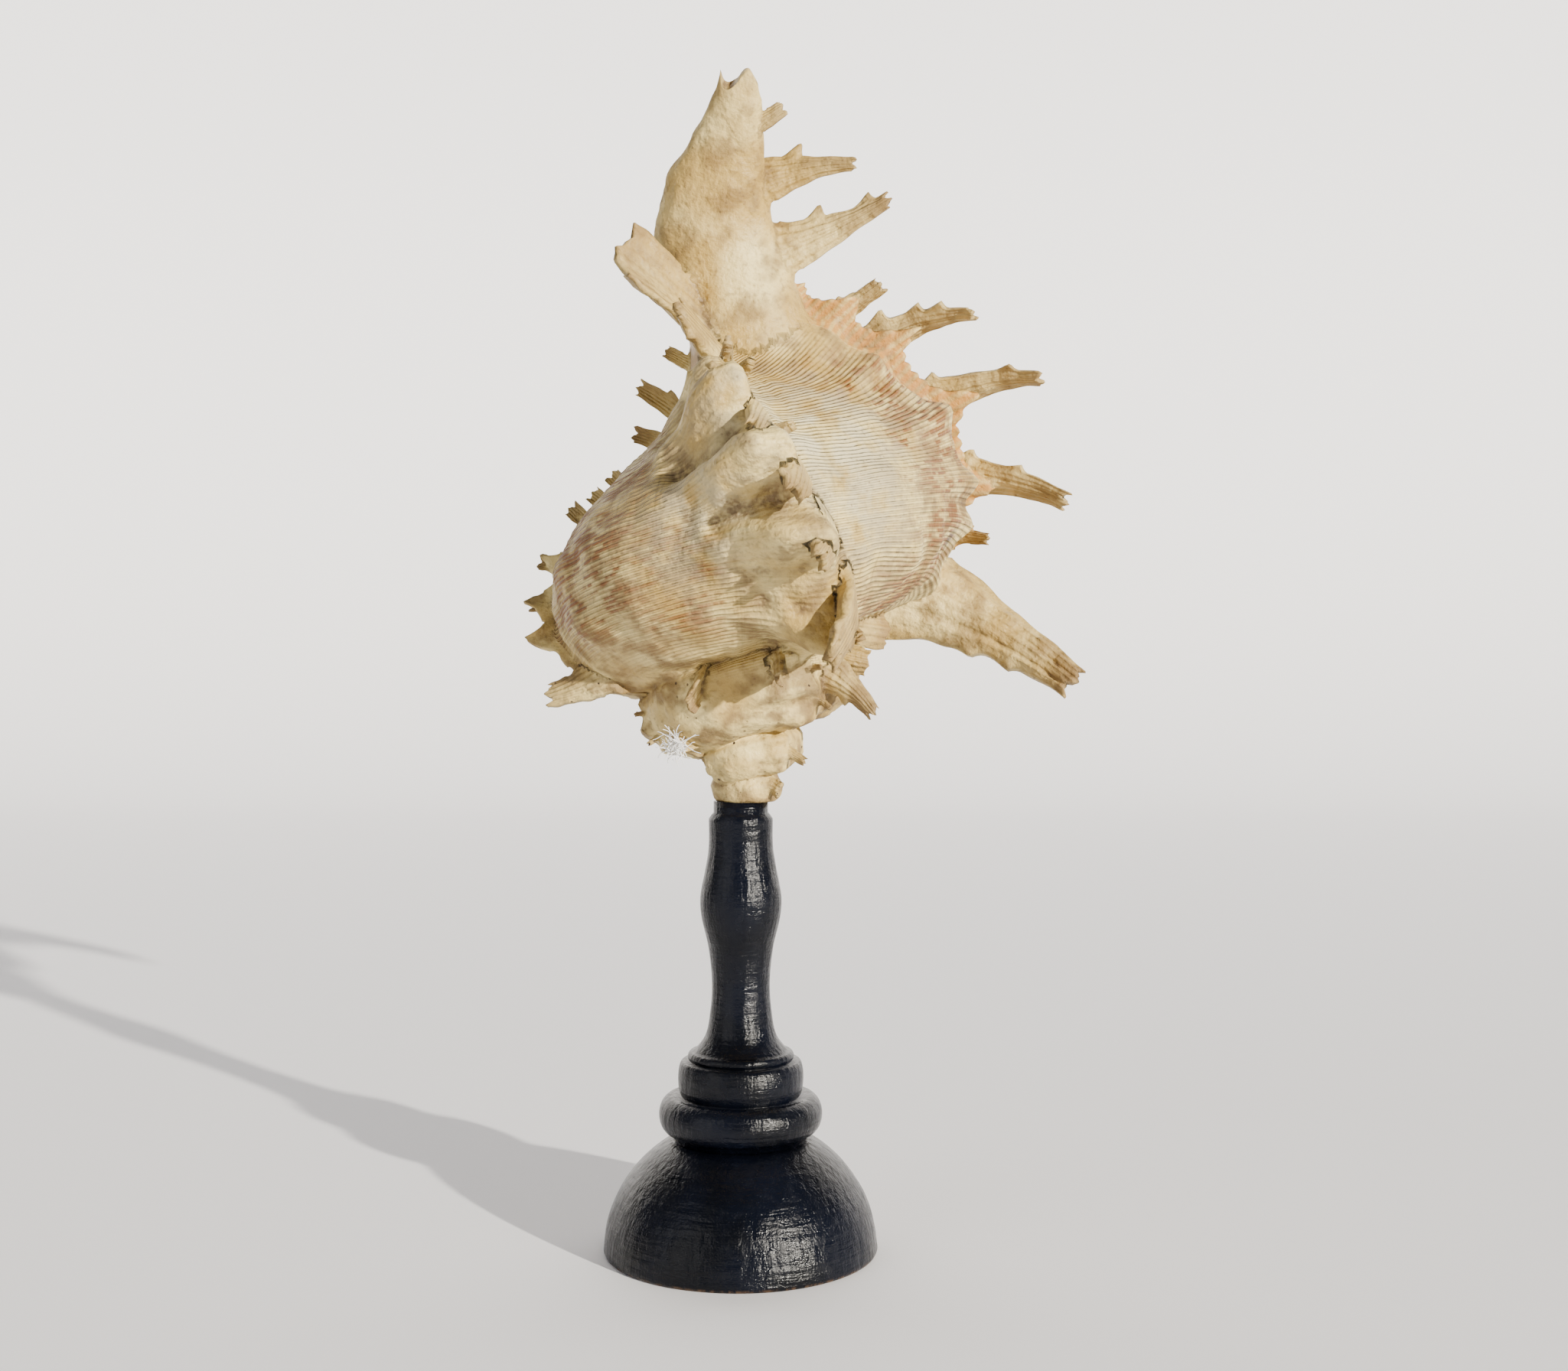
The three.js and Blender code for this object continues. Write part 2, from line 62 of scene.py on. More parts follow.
# Coil of the shell, as in the solids: it doubles in size with each turn
TURN_GROWTH = 2.0
LIP_ANGLE = 27.0
LEAN_LEFT = 4.0
LEAN_BACK = 4.0
APEX = np.array([1.5, -2.0, 97.0])
WALL = 3.6
AXIS_RADIUS = 1.0
WHORL = [
    (27, 44),
    (43, 48.5),
    (53.5, 59),
    (58, 72),
    (57, 85),
    (49.5, 97),
    (39, 107),
    (28, 115.5),
    (18.5, 123),
    (12, 131),
    (7, 140),
]
SHELL_FOOT = 101.5

# Varices, in degrees of growth before the lip
LIP, FRONT, LEFT = 0.0, -99.0, -210.0
VARICES = [LIP, FRONT, LEFT, -325.0, -440.0, -555.0, -670.0, -785.0, -900.0]
SPIRE_VARIX = VARICES[4]
HOLLOW_STAGES = 2
BODY_STAGES = 3
STAGE_OVERLAP = 0.06
SLANT = (26, -92, 46)

# Each varix: crest height, rib height, rib spread, where its flank starts and tops out, rib shares
VARIX_FORM = {
    LIP: (3.5, 3.4, 0.024, 0.55, 0.9, [0.16, 0.27, 0.345, 0.47, 0.61, 0.71, 0.82]),
    FRONT: (12.0, 9.0, 0.034, 0.79, 0.93, [0.13, 0.28, 0.4, 0.53, 0.67]),
    LEFT: (4.5, 3.0, 0.026, 0.6, 0.95, [0.13, 0.26, 0.35, 0.45, 0.55, 0.62, 0.68, 0.92]),
}
SPIRE_FORM = (5.5, 3.5, 0.035, 0.55, 0.92, [0.14, 0.25, 0.37])
VARIX_DROP = 0.05
VARIX_EDGE = 0.8
CREST_DIP = 0.7
VARIX_ROUGH = {FRONT: 2.4, LIP: 0.35}
LIP_HOLLOW = 5.0
LIP_HOLLOW_END = 0.94
LIP_STEP = 1.8
LIP_MARGIN = 0.83
LIP_FLUTE = 0.45
LIP_FLUTES = 54
SPIRE_ROUGH = 2.2
KNOB_HEIGHT = 2.6

# Points across and along a growth stage
BODY_ROWS = 90
SPIRE_ROWS = 34
INNER_CHAIN = 40
AXIS_CHAIN = 6

# Blade value that parts whorls from fronds
WHORL_BLADE = 0.14

# Fine spiral cords, and the step between the rings of a tube
CORDS = 104
RING_STEP = 1.3
CORDS_PER_RIDGE = 2
CORDS_PER_RIB = 8
RIDGE_HEIGHT = 0.13
RIB_HEIGHT = 0.2


# Number helpers


def smoothstep(value, low, high):
    part = np.clip((value - low) / (high - low), 0, 1)
    return part * part * (3 - 2 * part)


def bump(value, middle, spread):
    return np.exp(-(((value - middle) / spread) ** 2))


def unit(vectors):
    return vectors / np.maximum(np.linalg.norm(vectors, axis=-1, keepdims=True), 1e-9)


def noise(points, size, seed=0):
    """Smooth noise from -1 to 1 with lumps about size across."""
    flat = np.asarray(points, float).reshape(-1, 3) / size + 31.7 * (seed + 1)
    cell = np.floor(flat).astype(np.int64)
    part = flat - cell
    part = part * part * (3 - 2 * part)
    total = np.zeros(len(flat))
    for corner in np.ndindex(2, 2, 2):
        at = cell + corner
        code = (at[:, 0] * 73856093) ^ (at[:, 1] * 19349663) ^ (at[:, 2] * 83492791)
        code = (code ^ (code >> 13)) * 1274126177
        value = ((code ^ (code >> 16)) & 0xFFFF) / 32767.5 - 1
        total += value * np.prod(np.where(corner, part, 1 - part), axis=1)
    return total.reshape(np.shape(points)[:-1])


def smooth_curve(table, share):
    """Even Catmull-Rom curve through the rows of a table, for shares from 0 to 1."""
    rows = np.asarray(table, float)
    share = np.asarray(share, float)
    last = len(rows) - 1
    place = np.clip(share, 0, 1) * last
    low = np.minimum(np.floor(place).astype(int), last - 1)
    part = (place - low)[..., None]
    before = rows[np.maximum(low - 1, 0)]
    start = rows[low]
    end = rows[low + 1]
    after = rows[np.minimum(low + 2, last)]
    speed0 = (end - before) / 2
    speed1 = (after - start) / 2
    return (
        (2 * start - 2 * end + speed0 + speed1) * part**3
        + (3 * end - 3 * start - 2 * speed0 - speed1) * part**2
        + speed0 * part
        + start
    )


# Coil


def growth_size(angle):
    return TURN_GROWTH ** (angle / 360)


def placed(angle, radius, height):
    size = growth_size(angle)
    turn = np.radians(LIP_ANGLE + angle)
    x = size * radius * np.cos(turn)
    y = size * radius * np.sin(turn)
    z = size * height
    left = math.radians(LEAN_LEFT)
    back = math.radians(LEAN_BACK)
    leaned_x = x * math.cos(left) - z * math.sin(left)
    leaned_z = x * math.sin(left) + z * math.cos(left)
    upright_y = y * math.cos(back) + leaned_z * math.sin(back)
    upright_z = leaned_z * math.cos(back) - y * math.sin(back)
    return np.stack([leaned_x, upright_y, upright_z], axis=-1) + APEX


def coil(angle, share, lift):
    outline = smooth_curve(WHORL, share)
    reach = 1e-3
    along = unit(smooth_curve(WHORL, share + reach) - smooth_curve(WHORL, share - reach))
    radius = outline[..., 0] + lift * along[..., 1]
    height = outline[..., 1] - lift * along[..., 0]
    return placed(angle, radius, height)


def slant(share):
    """Growth lines run ahead at the suture and fall behind at the canal."""
    return SLANT[0] + SLANT[1] * share + SLANT[2] * share * share


def on_varix(varix, share, lift=0.0):
    share = np.asarray(share, float)
    return coil(varix + slant(share), share, lift)


def varix_along(varix, share):
    return unit(on_varix(varix, np.minimum(1, share + 0.01)) - on_varix(varix, np.maximum(0, share - 0.01)))


def varix_back(varix, share):
    """Direction towards older growth."""
    return unit(on_varix(varix - 2, share) - on_varix(varix, share))


# Lofted closed solids. Each is points, faces and a row of values per point


def zipper(outer, inner):
    """Triangles across an end loop made of an outer chain and a returning inner chain."""
    faces = []
    spot = 0
    for i in range(outer - 1):
        target = round((i + 1) * (inner - 1) / (outer - 1))
        faces.append((i, i + 1, outer + inner - 1 - spot))
        while spot < target:
            faces.append((i + 1, outer + inner - 2 - spot, outer + inner - 1 - spot))
            spot += 1
    return faces


def loft(outer, inner, values_outer, values_inner):
    """Closed skin between two grids of points, row by row. The inner grid faces the outer one."""
    loops = np.concatenate([outer, inner[:, ::-1]], axis=1)
    values = np.concatenate([values_outer, values_inner[:, ::-1]], axis=1)
    rows, count = loops.shape[:2]
    i, j = np.meshgrid(np.arange(rows - 1), np.arange(count), indexing="ij")
    a = (i * count + j).ravel()
    b = (i * count + (j + 1) % count).ravel()
    quads = np.stack([a, b, b + count, a + count], axis=1)
    caps = np.array(zipper(outer.shape[1], inner.shape[1]))
    ends = np.concatenate([caps[:, ::-1], caps + (rows - 1) * count])
    points = loops.reshape(-1, 3)
    corners = points[np.concatenate([quads[:, [0, 1, 2]], quads[:, [0, 2, 3]], ends])]
    volume = np.einsum("ij,ij->i", corners[:, 0], np.cross(corners[:, 1], corners[:, 2])).sum()
    faces = [quads, ends]
    if volume < 0:
        faces = [part[:, ::-1] for part in faces]
    return points, faces, values.reshape(-1, values.shape[-1])


def value_grid(shape, cord=0.0, growth=0.0, blade=0.0, inside=0.0, web=0.0, grain=0.0):
    """Values that the shell's material reads later, one column each."""
    columns = (cord, growth, blade, inside, web, grain)
    grid = np.zeros(shape + (len(columns),))
    for k, value in enumerate(columns):
        grid[..., k] = value
    return grid


# Whorls


def varix_lift(varix, share, step):
    """Height of a varix over the stage that leads up to it: a flank, a crest and ribs towards fronds."""
    height, rib, spread, start, top, shares = VARIX_FORM.get(varix, SPIRE_FORM)
    fade = np.sqrt(np.sin(np.pi * (0.06 + 0.93 * share)))
    if varix == FRONT:
        fade = fade * smoothstep(-share, -1.0, -0.6)
    ribs = sum(bump(share, middle, spread) for middle in shares)
    flank = smoothstep(step, start, top)
    long_flank = smoothstep(step, start - 0.14, top)
    crest = height * (CREST_DIP + (1 - CREST_DIP) * np.minimum(ribs, 1))
    return crest * fade * flank**1.3 + rib * fade * ribs * long_flank


def lip_dip(step):
    """The last stage is hollowed like a fan, most in its middle."""
    return np.sin(np.pi * np.clip(step / LIP_HOLLOW_END, 0, 1))


def stage_lift(older, newer, step, share, spot, angle):
    """Relief of a growth stage: past the old varix, over low knobs and cords, up into the new varix."""
    size = growth_size(angle)
    drop = np.clip(1 - step / VARIX_DROP, 0, 1)
    flank = smoothstep(step, 0.6, 0.95)
    knob_row = bump(step, 0.3, 0.07) + 0.5 * bump(step, 0.5, 0.06)
    knobs = KNOB_HEIGHT * knob_row * (bump(share, 0.22, 0.05) + 0.9 * bump(share, 0.36, 0.045))
    knobs = knobs + 1.6 * bump(step, 0.1, 0.05) * np.sin(np.pi * share)
    worn = 0.8 + 0.4 * noise(spot, 12, 3)
    worn = worn * smoothstep(-share, -1.0, -0.84) * (1 - 0.6 * flank)
    cords = RIDGE_HEIGHT * np.cos(2 * np.pi * CORDS / CORDS_PER_RIDGE * share)
    ribs = RIB_HEIGHT * (0.9 - 0.5 * flank) * np.cos(2 * np.pi * CORDS / CORDS_PER_RIB * share)
    lines = np.stack([angle / 3.1, 2.0 * share, 0.0 * share], axis=-1)
    lumps = 0.7 * noise(spot, 16, 1) + 0.35 * noise(spot, 5, 2) + 0.22 * noise(lines, 1.0, 7)
    rough = flank * (0.5 - 1.5 * np.abs(noise(spot, 8, 4)) + 0.6 * noise(spot, 3, 5))
    if newer < LEFT:
        lumps = SPIRE_ROUGH * lumps
    frill = bump(share, 0.0, 0.05) * noise(spot, 3.5, 6)
    tall = VARIX_EDGE * varix_lift(older, share, 1.0) * drop + varix_lift(newer, share, step)
    rough = VARIX_ROUGH.get(newer, 1.0) * rough
    if newer == LIP:
        tall = tall - LIP_HOLLOW * lip_dip(step) * np.sqrt(np.sin(np.pi * share))
        margin = smoothstep(step, LIP_MARGIN, LIP_MARGIN + 0.04)
        tall = tall - LIP_STEP * margin
        tall = tall + LIP_FLUTE * margin * np.sin(2 * np.pi * LIP_FLUTES * share)
        worn = worn * (1 - 0.8 * margin)
    total = tall + knobs + worn * (cords + ribs) + (lumps + rough + frill) / np.maximum(size, 0.4)
    return np.where(step < 0, -0.6, total)


def stage_solid(older, newer, shares, rows, hollow):
    steps = np.concatenate([[-STAGE_OVERLAP], np.linspace(0, 1, rows)])
    step, share = np.meshgrid(steps, shares, indexing="ij")
    angle = older + (newer - older) * step + slant(share)
    spot = coil(angle, share, 0.0)
    outer = coil(angle, share, stage_lift(older, newer, step, share, spot, angle))
    outer_values = value_grid(share.shape, share * CORDS, angle)
    if newer == LIP:
        margin = smoothstep(step, LIP_MARGIN, LIP_MARGIN + 0.03)
        outer_values[..., 2] = 0.12 * margin
        outer_values[..., 4] = margin
    else:
        outer_values[..., 2] = 0.1 * smoothstep(step, 0.7, 0.86)
    if hollow:
        step, share = np.meshgrid(steps, np.linspace(0, 1, INNER_CHAIN), indexing="ij")
        angle = older + (newer - older) * step + slant(share)
        depth = np.where(step < 0, WALL / 2, WALL) - 0.4 * noise(coil(angle, share, 0.0), 14, 8)
        if newer == LIP:
            depth = depth + LIP_HOLLOW * lip_dip(step) * np.sin(np.pi * share)
        inner = coil(angle, share, -depth)
        inner_values = value_grid(share.shape, share * CORDS, angle, inside=1.0)
    else:
        heights = np.linspace(WHORL[0][1], WHORL[-1][1], AXIS_CHAIN)
        turn = np.linspace(slant(0.0), slant(1.0), AXIS_CHAIN)
        inner = placed(older + (newer - older) * steps[:, None] + turn, AXIS_RADIUS, heights[None, :])
        inner_values = value_grid(inner.shape[:2])
    return loft(outer, inner, outer_values, inner_values)


def whorl_solids():
    solids = []
    body_shares = np.linspace(0, 1, 3 * CORDS // CORDS_PER_RIDGE + 1)
    spire_shares = np.concatenate([np.linspace(0, 0.5, 78), np.linspace(0.53, 1, 10)])
    for stage in range(len(VARICES) - 1):
        in_body = stage < BODY_STAGES
        shares = body_shares if in_body else spire_shares
        rows = BODY_ROWS if in_body else SPIRE_ROWS
        solids.append(stage_solid(VARICES[stage + 1], VARICES[stage], shares, rows, stage < HOLLOW_STAGES))
    return solids


def tube(centres, across, normals, half_widths, half_depths, sides, rough, notch=0.0, groove=0.0):
    """Closed solid of oval rings, with lumps, a ragged end and a groove on the side of its normals."""
    turn = np.linspace(0, np.pi, sides)
    halves = []
    for side in (-1, 1):
        width = half_widths[:, None] * np.cos(turn)
        depth = side * half_depths[:, None] * np.sin(turn)
        if side > 0:
            depth = depth * (1 - groove * bump(np.cos(turn), 0.0, 0.16))
        points = centres[:, None] + across[:, None] * width[..., None] + normals[:, None] * depth[..., None]
        halves.append(points)
    flow = unit(np.gradient(centres, axis=0))
    ragged = np.linspace(0, 1, len(centres)) ** 8
    for half in halves:
        half -= (ragged[:, None] * notch * (1 + np.cos(3 * turn))[None, :])[..., None] * flow[:, None]
        lumps = rough * (noise(half, 6, 11) + 0.35 * noise(half, 2.2, 12))
        half += unit(half - centres[:, None]) * lumps[..., None]
    blade = 0.1 + 0.6 * np.linspace(0, 1, len(centres))[:, None] ** 3
    data = []
    for half in halves:
        around = (half[..., 2] + 0.35 * half[..., 0]) / RING_STEP
        data.append(value_grid(half.shape[:2], around, 2 * half[..., 0], blade))
    return loft(halves[0], halves[1], *data)


# Columella and sawn end of the spire: height and radius
COLUMELLA = [(34, 6), (70, 6.5), (105, 6.5), (126, 3)]
STUMP = [(SHELL_FOOT, 6.6), (102.3, 7.4), (105, 8.2), (109, 6.5)]
STUMP_CENTRE = (1.2, 0.0)


def radii(table, rows):
    """Evenly spaced heights along a table of height and radius, with the radius at each."""
    heights, values = zip(*table)
    places = np.linspace(heights[0], heights[-1], rows)
    return places, np.interp(places, heights, values)


def columella():
    heights, radius = radii(COLUMELLA, 30)
    centres = placed(0.0, 0.0, heights)
    ones = np.ones((len(heights), 1))
    solid = tube(centres, ones * [1, 0, 0], ones * [0, 1, 0], radius, radius, 16, 0.3)
    solid[2][:, 3] = 1.0
    return solid


def spire_stump():
    heights, radius = radii(STUMP, 14)
    ones = np.ones((len(heights), 1))
    centres = np.concatenate([ones * STUMP_CENTRE, heights[:, None]], axis=1)
    return tube(centres, ones * [1, 0, 0], ones * [0, 1, 0], radius, radius, 22, 0.7)


# Siphonal canal: centre, half width, half depth
CANAL_ROOT = 197.0
CANAL = [
    (2, 6, 203, 12, 10),
    (-0.5, 5, 216, 15, 9.5),
    (-5.3, 2.5, 228, 14.2, 8.5),
    (-5.8, -2.5, 239, 11.8, 6.8),
    (-3, -9, 249, 8.3, 5),
    (-0.6, -15, 257, 5.2, 3.2),
    (0.2, -18, 261.2, 4.4, 2.2),
]


def canal():
    shares = np.linspace(0, 1, 64)
    table = smooth_curve(CANAL, shares)
    centres = table[:, :3]
    flow = unit(np.gradient(centres, axis=0))
    across = np.broadcast_to(np.array([1.0, 0.0, 0.0]), centres.shape)
    normals = unit(np.cross(flow, across))
    normals = normals * np.sign(normals[:, 1:2])
    return tube(centres, across, normals, table[:, 3], table[:, 4], 36, 0.8, notch=1.8, groove=0.75)


# Frond forms: thickness at root and tip, arch of the gutter, depth of the torn teeth, points per row
LIP_FORM = ((3.6, 1.7), 0.42, 0.05, (46, 15))
STOUT_FORM = ((7.0, 3.6), 0.55, 0.04, (46, 15))
THICK_FORM = ((6.0, 2.4), 0.3, 0.16, (26, 15))
GUTTER_FORM = ((4.5, 1.8), 0.5, 0.1, (30, 17))
SMALL_FORM = ((2.8, 1.2), 0.65, 0.07, (22, 11))

# Fronds: root share or point, tip, width at root and tip, bow, side spikes (place along, side, length)
LIP_FRONDS = [
    (0.16, (79.8, 18, 127.2), (32, 8.5), (2, 4, 2), [(0.5, -1, 1.8), (0.68, -1, 1.6)]),
    (0.265, (59.4, 24, 162.9), (9, 3), (0, 2, 0), []),
    (0.345, (77.5, 14, 170.1), (15, 4.8), (0, 4, 4), [(0.3, 1, 2.2), (0.62, 1, 1.5)]),
    (0.475, (70.8, 10, 198.9), (15, 4), (0, 4, 4), [(0.25, 1, 2.2), (0.75, 1, 1.6)]),
    (0.615, (54.3, 4, 212.6), (14, 3.5), (0, 3, 4), [(0.3, 1, 2.4), (0.55, 1, 2.2), (0.72, 1, 2)]),
    (0.72, (32.7, 4, 220), (9, 4), (0, 2, 0), [(0.5, 1, 1)]),
    ((7, 2, 227), (34.4, -3, 238), (19, 3.6), (0, 2, -1), [(0.5, 1, 3), (0.83, 1, 2)]),
    ((3, -3, 239.5), (26.4, -8, 243.8), (17, 3), (0, 1, 2), [(0.5, 1, 3)]),
    ((0, -11, 251), (10.1, -14, 254.7), (10, 3.4), (0, 0, -1), []),
    # Plate that closes a gap at the base of the lip
    ((16, 0, 143), (34, 18, 141), (12, 10), (0, 0, 0), []),
]
FRONT_FRONDS = [
    (0.98, (-24.5, -22, 222.5), (12, 18), (0, 0, 1), []),
    (0.86, (-14, -26, 209.5), (11, 7), (0, 0, 0), [(0.7, -1, 2)]),
    (0.77, (-2.2, -30, 200.8), (8, 3), (0, 0, 0), [(0.6, 1, 2)]),
    (0.72, (3.2, -36, 195.3), (7, 3), (0, 0, 0), []),
    (0.66, (-5.0, -44, 189.5), (12, 6), (2, 0, 1), [(0.7, 1, 2)]),
    (0.53, (4.5, -57, 176.1), (13, 6), (2, 0, 2), [(0.7, -1, 2)]),
    (0.5, (12.4, -44, 180.6), (6, 2), (0, -1, 0), []),
    (0.4, (11.5, -63, 163), (13, 6), (2, 0, 2), [(0.75, 1, 2)]),
    (0.28, (15.5, -62, 151), (12, 6), (2, 0, 1), [(0.7, -1, 2)]),
    (0.15, (17.5, -56, 131), (18, 7), (3, -2, 2), [(0.75, 1, 2.5), (0.6, -1, 2)]),
    (0.09, (26, -40, 136.8), (9, 3), (0, 0, 0), []),
]
LEFT_FRONDS = [
    ((-13, 4, 202), (-17.7, 3, 204.4), (5, 3), (0, 0, 0), []),
    (0.99, (-24.7, 6, 197), (8, 4), (0, 0, 1), [(0.6, 1, 1.5)]),
    (0.92, (-25.9, 8, 186.3), (7, 4), (0, 0, 0), []),
    (0.68, (-31, 9, 177.2), (6, 4), (0, 0, 0), []),
    (0.62, (-35.4, 9, 172.8), (6, 4), (0, 0, 0), []),
    (0.55, (-40.4, 9, 169.6), (6, 4), (0, 0, 0), []),
    (0.45, (-47.7, 9, 156.6), (8, 4), (0, 0, 0), []),
    (0.35, (-49, 6, 146.4), (8, 4), (0, 0, 0), []),
    (0.26, (-46.1, 2, 139.9), (8, 4), (0, 0, 0), []),
    (0.13, (-44.8, -4, 124.9), (12, 5), (0, 0, -1), []),
]
SPIRE_FRONDS = [
    ((20, -14, 128.5), (30, -18, 120.6), (15, 3.4), (0, 0, 2), [(0.6, -1, 1.5)]),
    ((22, -9, 134), (29, -9, 132.5), (9, 6), (0, 0, 0), []),
    ((9, -24, 133), (9.2, -36, 128.8), (11, 4), (0, 0, 0), []),
    ((-7, -20, 129), (-9.9, -29, 123.5), (8, 5), (0, 0, 0), []),
    ((-6, -9, 117), (-13.5, -16, 115), (7, 4.5), (0, 0, 0), []),
    ((9, -7, 114), (14.8, -12, 110.5), (6, 2), (0, 0, 0), []),
    ((5, -3, 106.5), (9.4, -7, 103.8), (6, 4), (0, 0, 0), []),
]
FROND_BURY = 5.0
BLADE_ROOT = 0.15

# Small fronds that repeat on the varices of the spire
SPIRE_VARICES = VARICES[4:7]
SPIRE_SHARES = (0.2, 0.32)
SPIRE_REACH = 12.5
SPIRE_WIDTHS = (10, 3)


def frond(varix, spec, form, seed):
    """Curved gutter with a hollow side towards new growth, saw edges, side spikes and a torn tip."""
    place, tip, widths, bow, spikes = spec
    thickness, arching, tear, (rows, chain) = form
    free = np.ndim(place) > 0
    root = np.array(place, float) if free else on_varix(varix, place, 1.0)
    along = np.array([0.0, 0.0, 1.0]) if free else varix_along(varix, place)
    back = varix_back(varix, 0.5 if free else place)
    tip = np.array(tip, float)
    root = root + FROND_BURY * unit(root - tip)
    length = np.linalg.norm(tip - root)
    control = (root + tip) / 2 + 2 * np.array(bow, float)

    side = np.linspace(-1, 1, chain)[None, :]
    share = np.linspace(0, 1, rows)[:, None]
    teeth = 0.6 + 0.4 * np.cos(5.5 * side + 2.3 * seed) + 0.3 * np.abs(np.sin(9.1 * side + seed))
    reach = share * (1 - tear * teeth * share**4)

    half = (widths[1] + (widths[0] - widths[1]) * (1 - reach) ** 1.8) / 2
    half = half * (1 + 0.3 * np.exp(-reach / 0.1))
    saw = 0.03 * np.sin(31 * reach + 1.7 * seed) + 0.03 * np.sin(17 * reach + seed)
    edge = half * (1 + saw * np.abs(side))
    for where, hand, out in spikes:
        peak = np.clip(1 - np.abs(reach - where) / 0.075, 0, 1) ** 1.4
        peak = peak * np.clip(hand * side, 0, 1) ** 3
        edge = edge + out * peak
        reach = reach + 0.8 * out / length * peak

    centre = (1 - reach)[..., None] ** 2 * root + (2 * reach * (1 - reach))[..., None] * control
    centre = centre + reach[..., None] ** 2 * tip
    flow = unit((1 - reach)[..., None] * (control - root) + reach[..., None] * (tip - control))
    across = unit(along - np.sum(flow * along, axis=-1, keepdims=True) * flow)
    normal = np.cross(flow, across)
    normal = normal * np.sign(np.sum(normal * back, axis=-1).mean())

    arch = arching * half * (1 - side**2)
    stripes = 0.16 * np.cos(9 * side + seed) + 0.1 * np.cos(19 * side)
    stripes = stripes * np.minimum(half / 3, 1.6) * thickness[1] / 1.7
    thick = thickness[1] + (thickness[0] - thickness[1]) * (1 - reach) ** 1.5
    thick = thick * (1 - 0.5 * side**2) * (1 - 0.35 * reach**6)
    spread = across * (edge * side)[..., None]
    outer = centre + spread + normal * (arch + stripes)[..., None]
    inner = centre + 0.96 * spread + normal * (arch - thick)[..., None]
    lumps = 0.35 * noise(outer, 4, 21) + 0.2 * noise(outer, 1.7, 22)
    outer = outer + normal * (lumps * thickness[1] / 1.7)[..., None]
    blade = np.clip(BLADE_ROOT + (1 - BLADE_ROOT) * reach, 0, 1)
    grain = smoothstep(blade, WHORL_BLADE, 2 * BLADE_ROOT)
    values = value_grid(outer.shape[:2], 3 * side, length * reach, blade, grain=grain)
    return loft(outer, inner, values, values)


def frond_solids():
    groups = [
        (LIP, LIP_FRONDS[:1], STOUT_FORM),
        (LIP, LIP_FRONDS[1:], LIP_FORM),
        (FRONT, FRONT_FRONDS[:1], GUTTER_FORM),
        (FRONT, FRONT_FRONDS[1:], THICK_FORM),
        (LEFT, LEFT_FRONDS[:-1], SMALL_FORM),
        (LEFT, LEFT_FRONDS[-1:], THICK_FORM),
        (SPIRE_VARIX, SPIRE_FRONDS, SMALL_FORM),
    ]
    solids = []
    for varix, fronds, form in groups:
        solids += [frond(varix, spec, form, 1 + 0.7 * k) for k, spec in enumerate(fronds)]
    for varix in SPIRE_VARICES:
        widths = [width * growth_size(varix) for width in SPIRE_WIDTHS]
        for k, share in enumerate(SPIRE_SHARES):
            tip = on_varix(varix, share, SPIRE_REACH)
            spec = (share, tip, widths, (0, 0, 0), [])
            solids.append(frond(varix, spec, SMALL_FORM, 5 + k))
    return solids


# Frilled webs: reach between fronds, flare and spread at fronds, backward lean, flutes, orange tint
WEB_THICK = 1.0
WEB_ROWS = 260
WEB_CHAIN = 10
LIP_SPAN = (0.03, 0.97)
LEFT_SPAN = (0.06, 0.75)
LIP_WEB = (2.8, 7.0, 0.024, 0.5, LIP_FLUTES, 1.0)
LEFT_WEB = (1.0, 3.5, 0.016, -0.2, 17, 0.0)


def web(varix, span, form, fronds):
    """Thin fluted sheet that sweeps out into each frond and stays low between them."""
    between, flare, spread, lean_back, flutes, tint = form
    share = np.linspace(span[0], span[1], WEB_ROWS)[:, None]
    out = np.linspace(0, 1, WEB_CHAIN)[None, :]
    foot = on_varix(varix, share, -0.5)
    back = varix_back(varix, share)
    lean = unit(on_varix(varix, share, 2.0) - foot) + lean_back * back
    rise = 0.0
    for place, tip, *_ in fronds:
        if np.ndim(place) == 0:
            near = np.exp(-np.abs(share - place) / spread)
            rise = rise + near
            lean = lean + 1.4 * near[..., None] * unit(np.array(tip, float) - on_varix(varix, place))
    lean = unit(lean)
    taper = np.sqrt(np.sin(np.pi * (0.03 + 0.94 * (share - span[0]) / (span[1] - span[0]))))
    low = 0.5 + 0.7 * varix_lift(varix, share, 1.0)
    height = low + taper * (between + flare * np.minimum(rise, 1.2))
    height = height * (1 + 0.07 * np.sin(2 * np.pi * flutes * share) + 0.1 * noise(foot, 3, 31))
    normal = unit(np.cross(lean, varix_along(varix, share)))
    normal = normal * np.sign(np.sum(normal * back, axis=-1, keepdims=True))
    flute = 0.5 * np.sin(2 * np.pi * flutes * share) + 0.3 * np.sin(2 * np.pi * 0.31 * flutes * share)
    middle = foot + lean * (height * out)[..., None] + normal * (flute * out**1.5)[..., None]
    thick = WEB_THICK * (1.6 - out)
    values = value_grid(middle.shape[:2], share * CORDS, slant(share), 0.12 + 0.2 * out, web=tint)
    return loft(middle + normal * thick[..., None], middle - normal * thick[..., None], values, values)


# Meshes


def mesh_object(name, points, faces):
    mesh = bpy.data.meshes.new(name)
    mesh.from_pydata((points * MM).tolist(), [], [face for part in faces for face in part.tolist()])
    mesh.update()
    made = bpy.data.objects.new(name, mesh)
    bpy.context.scene.collection.objects.link(made)
    return made


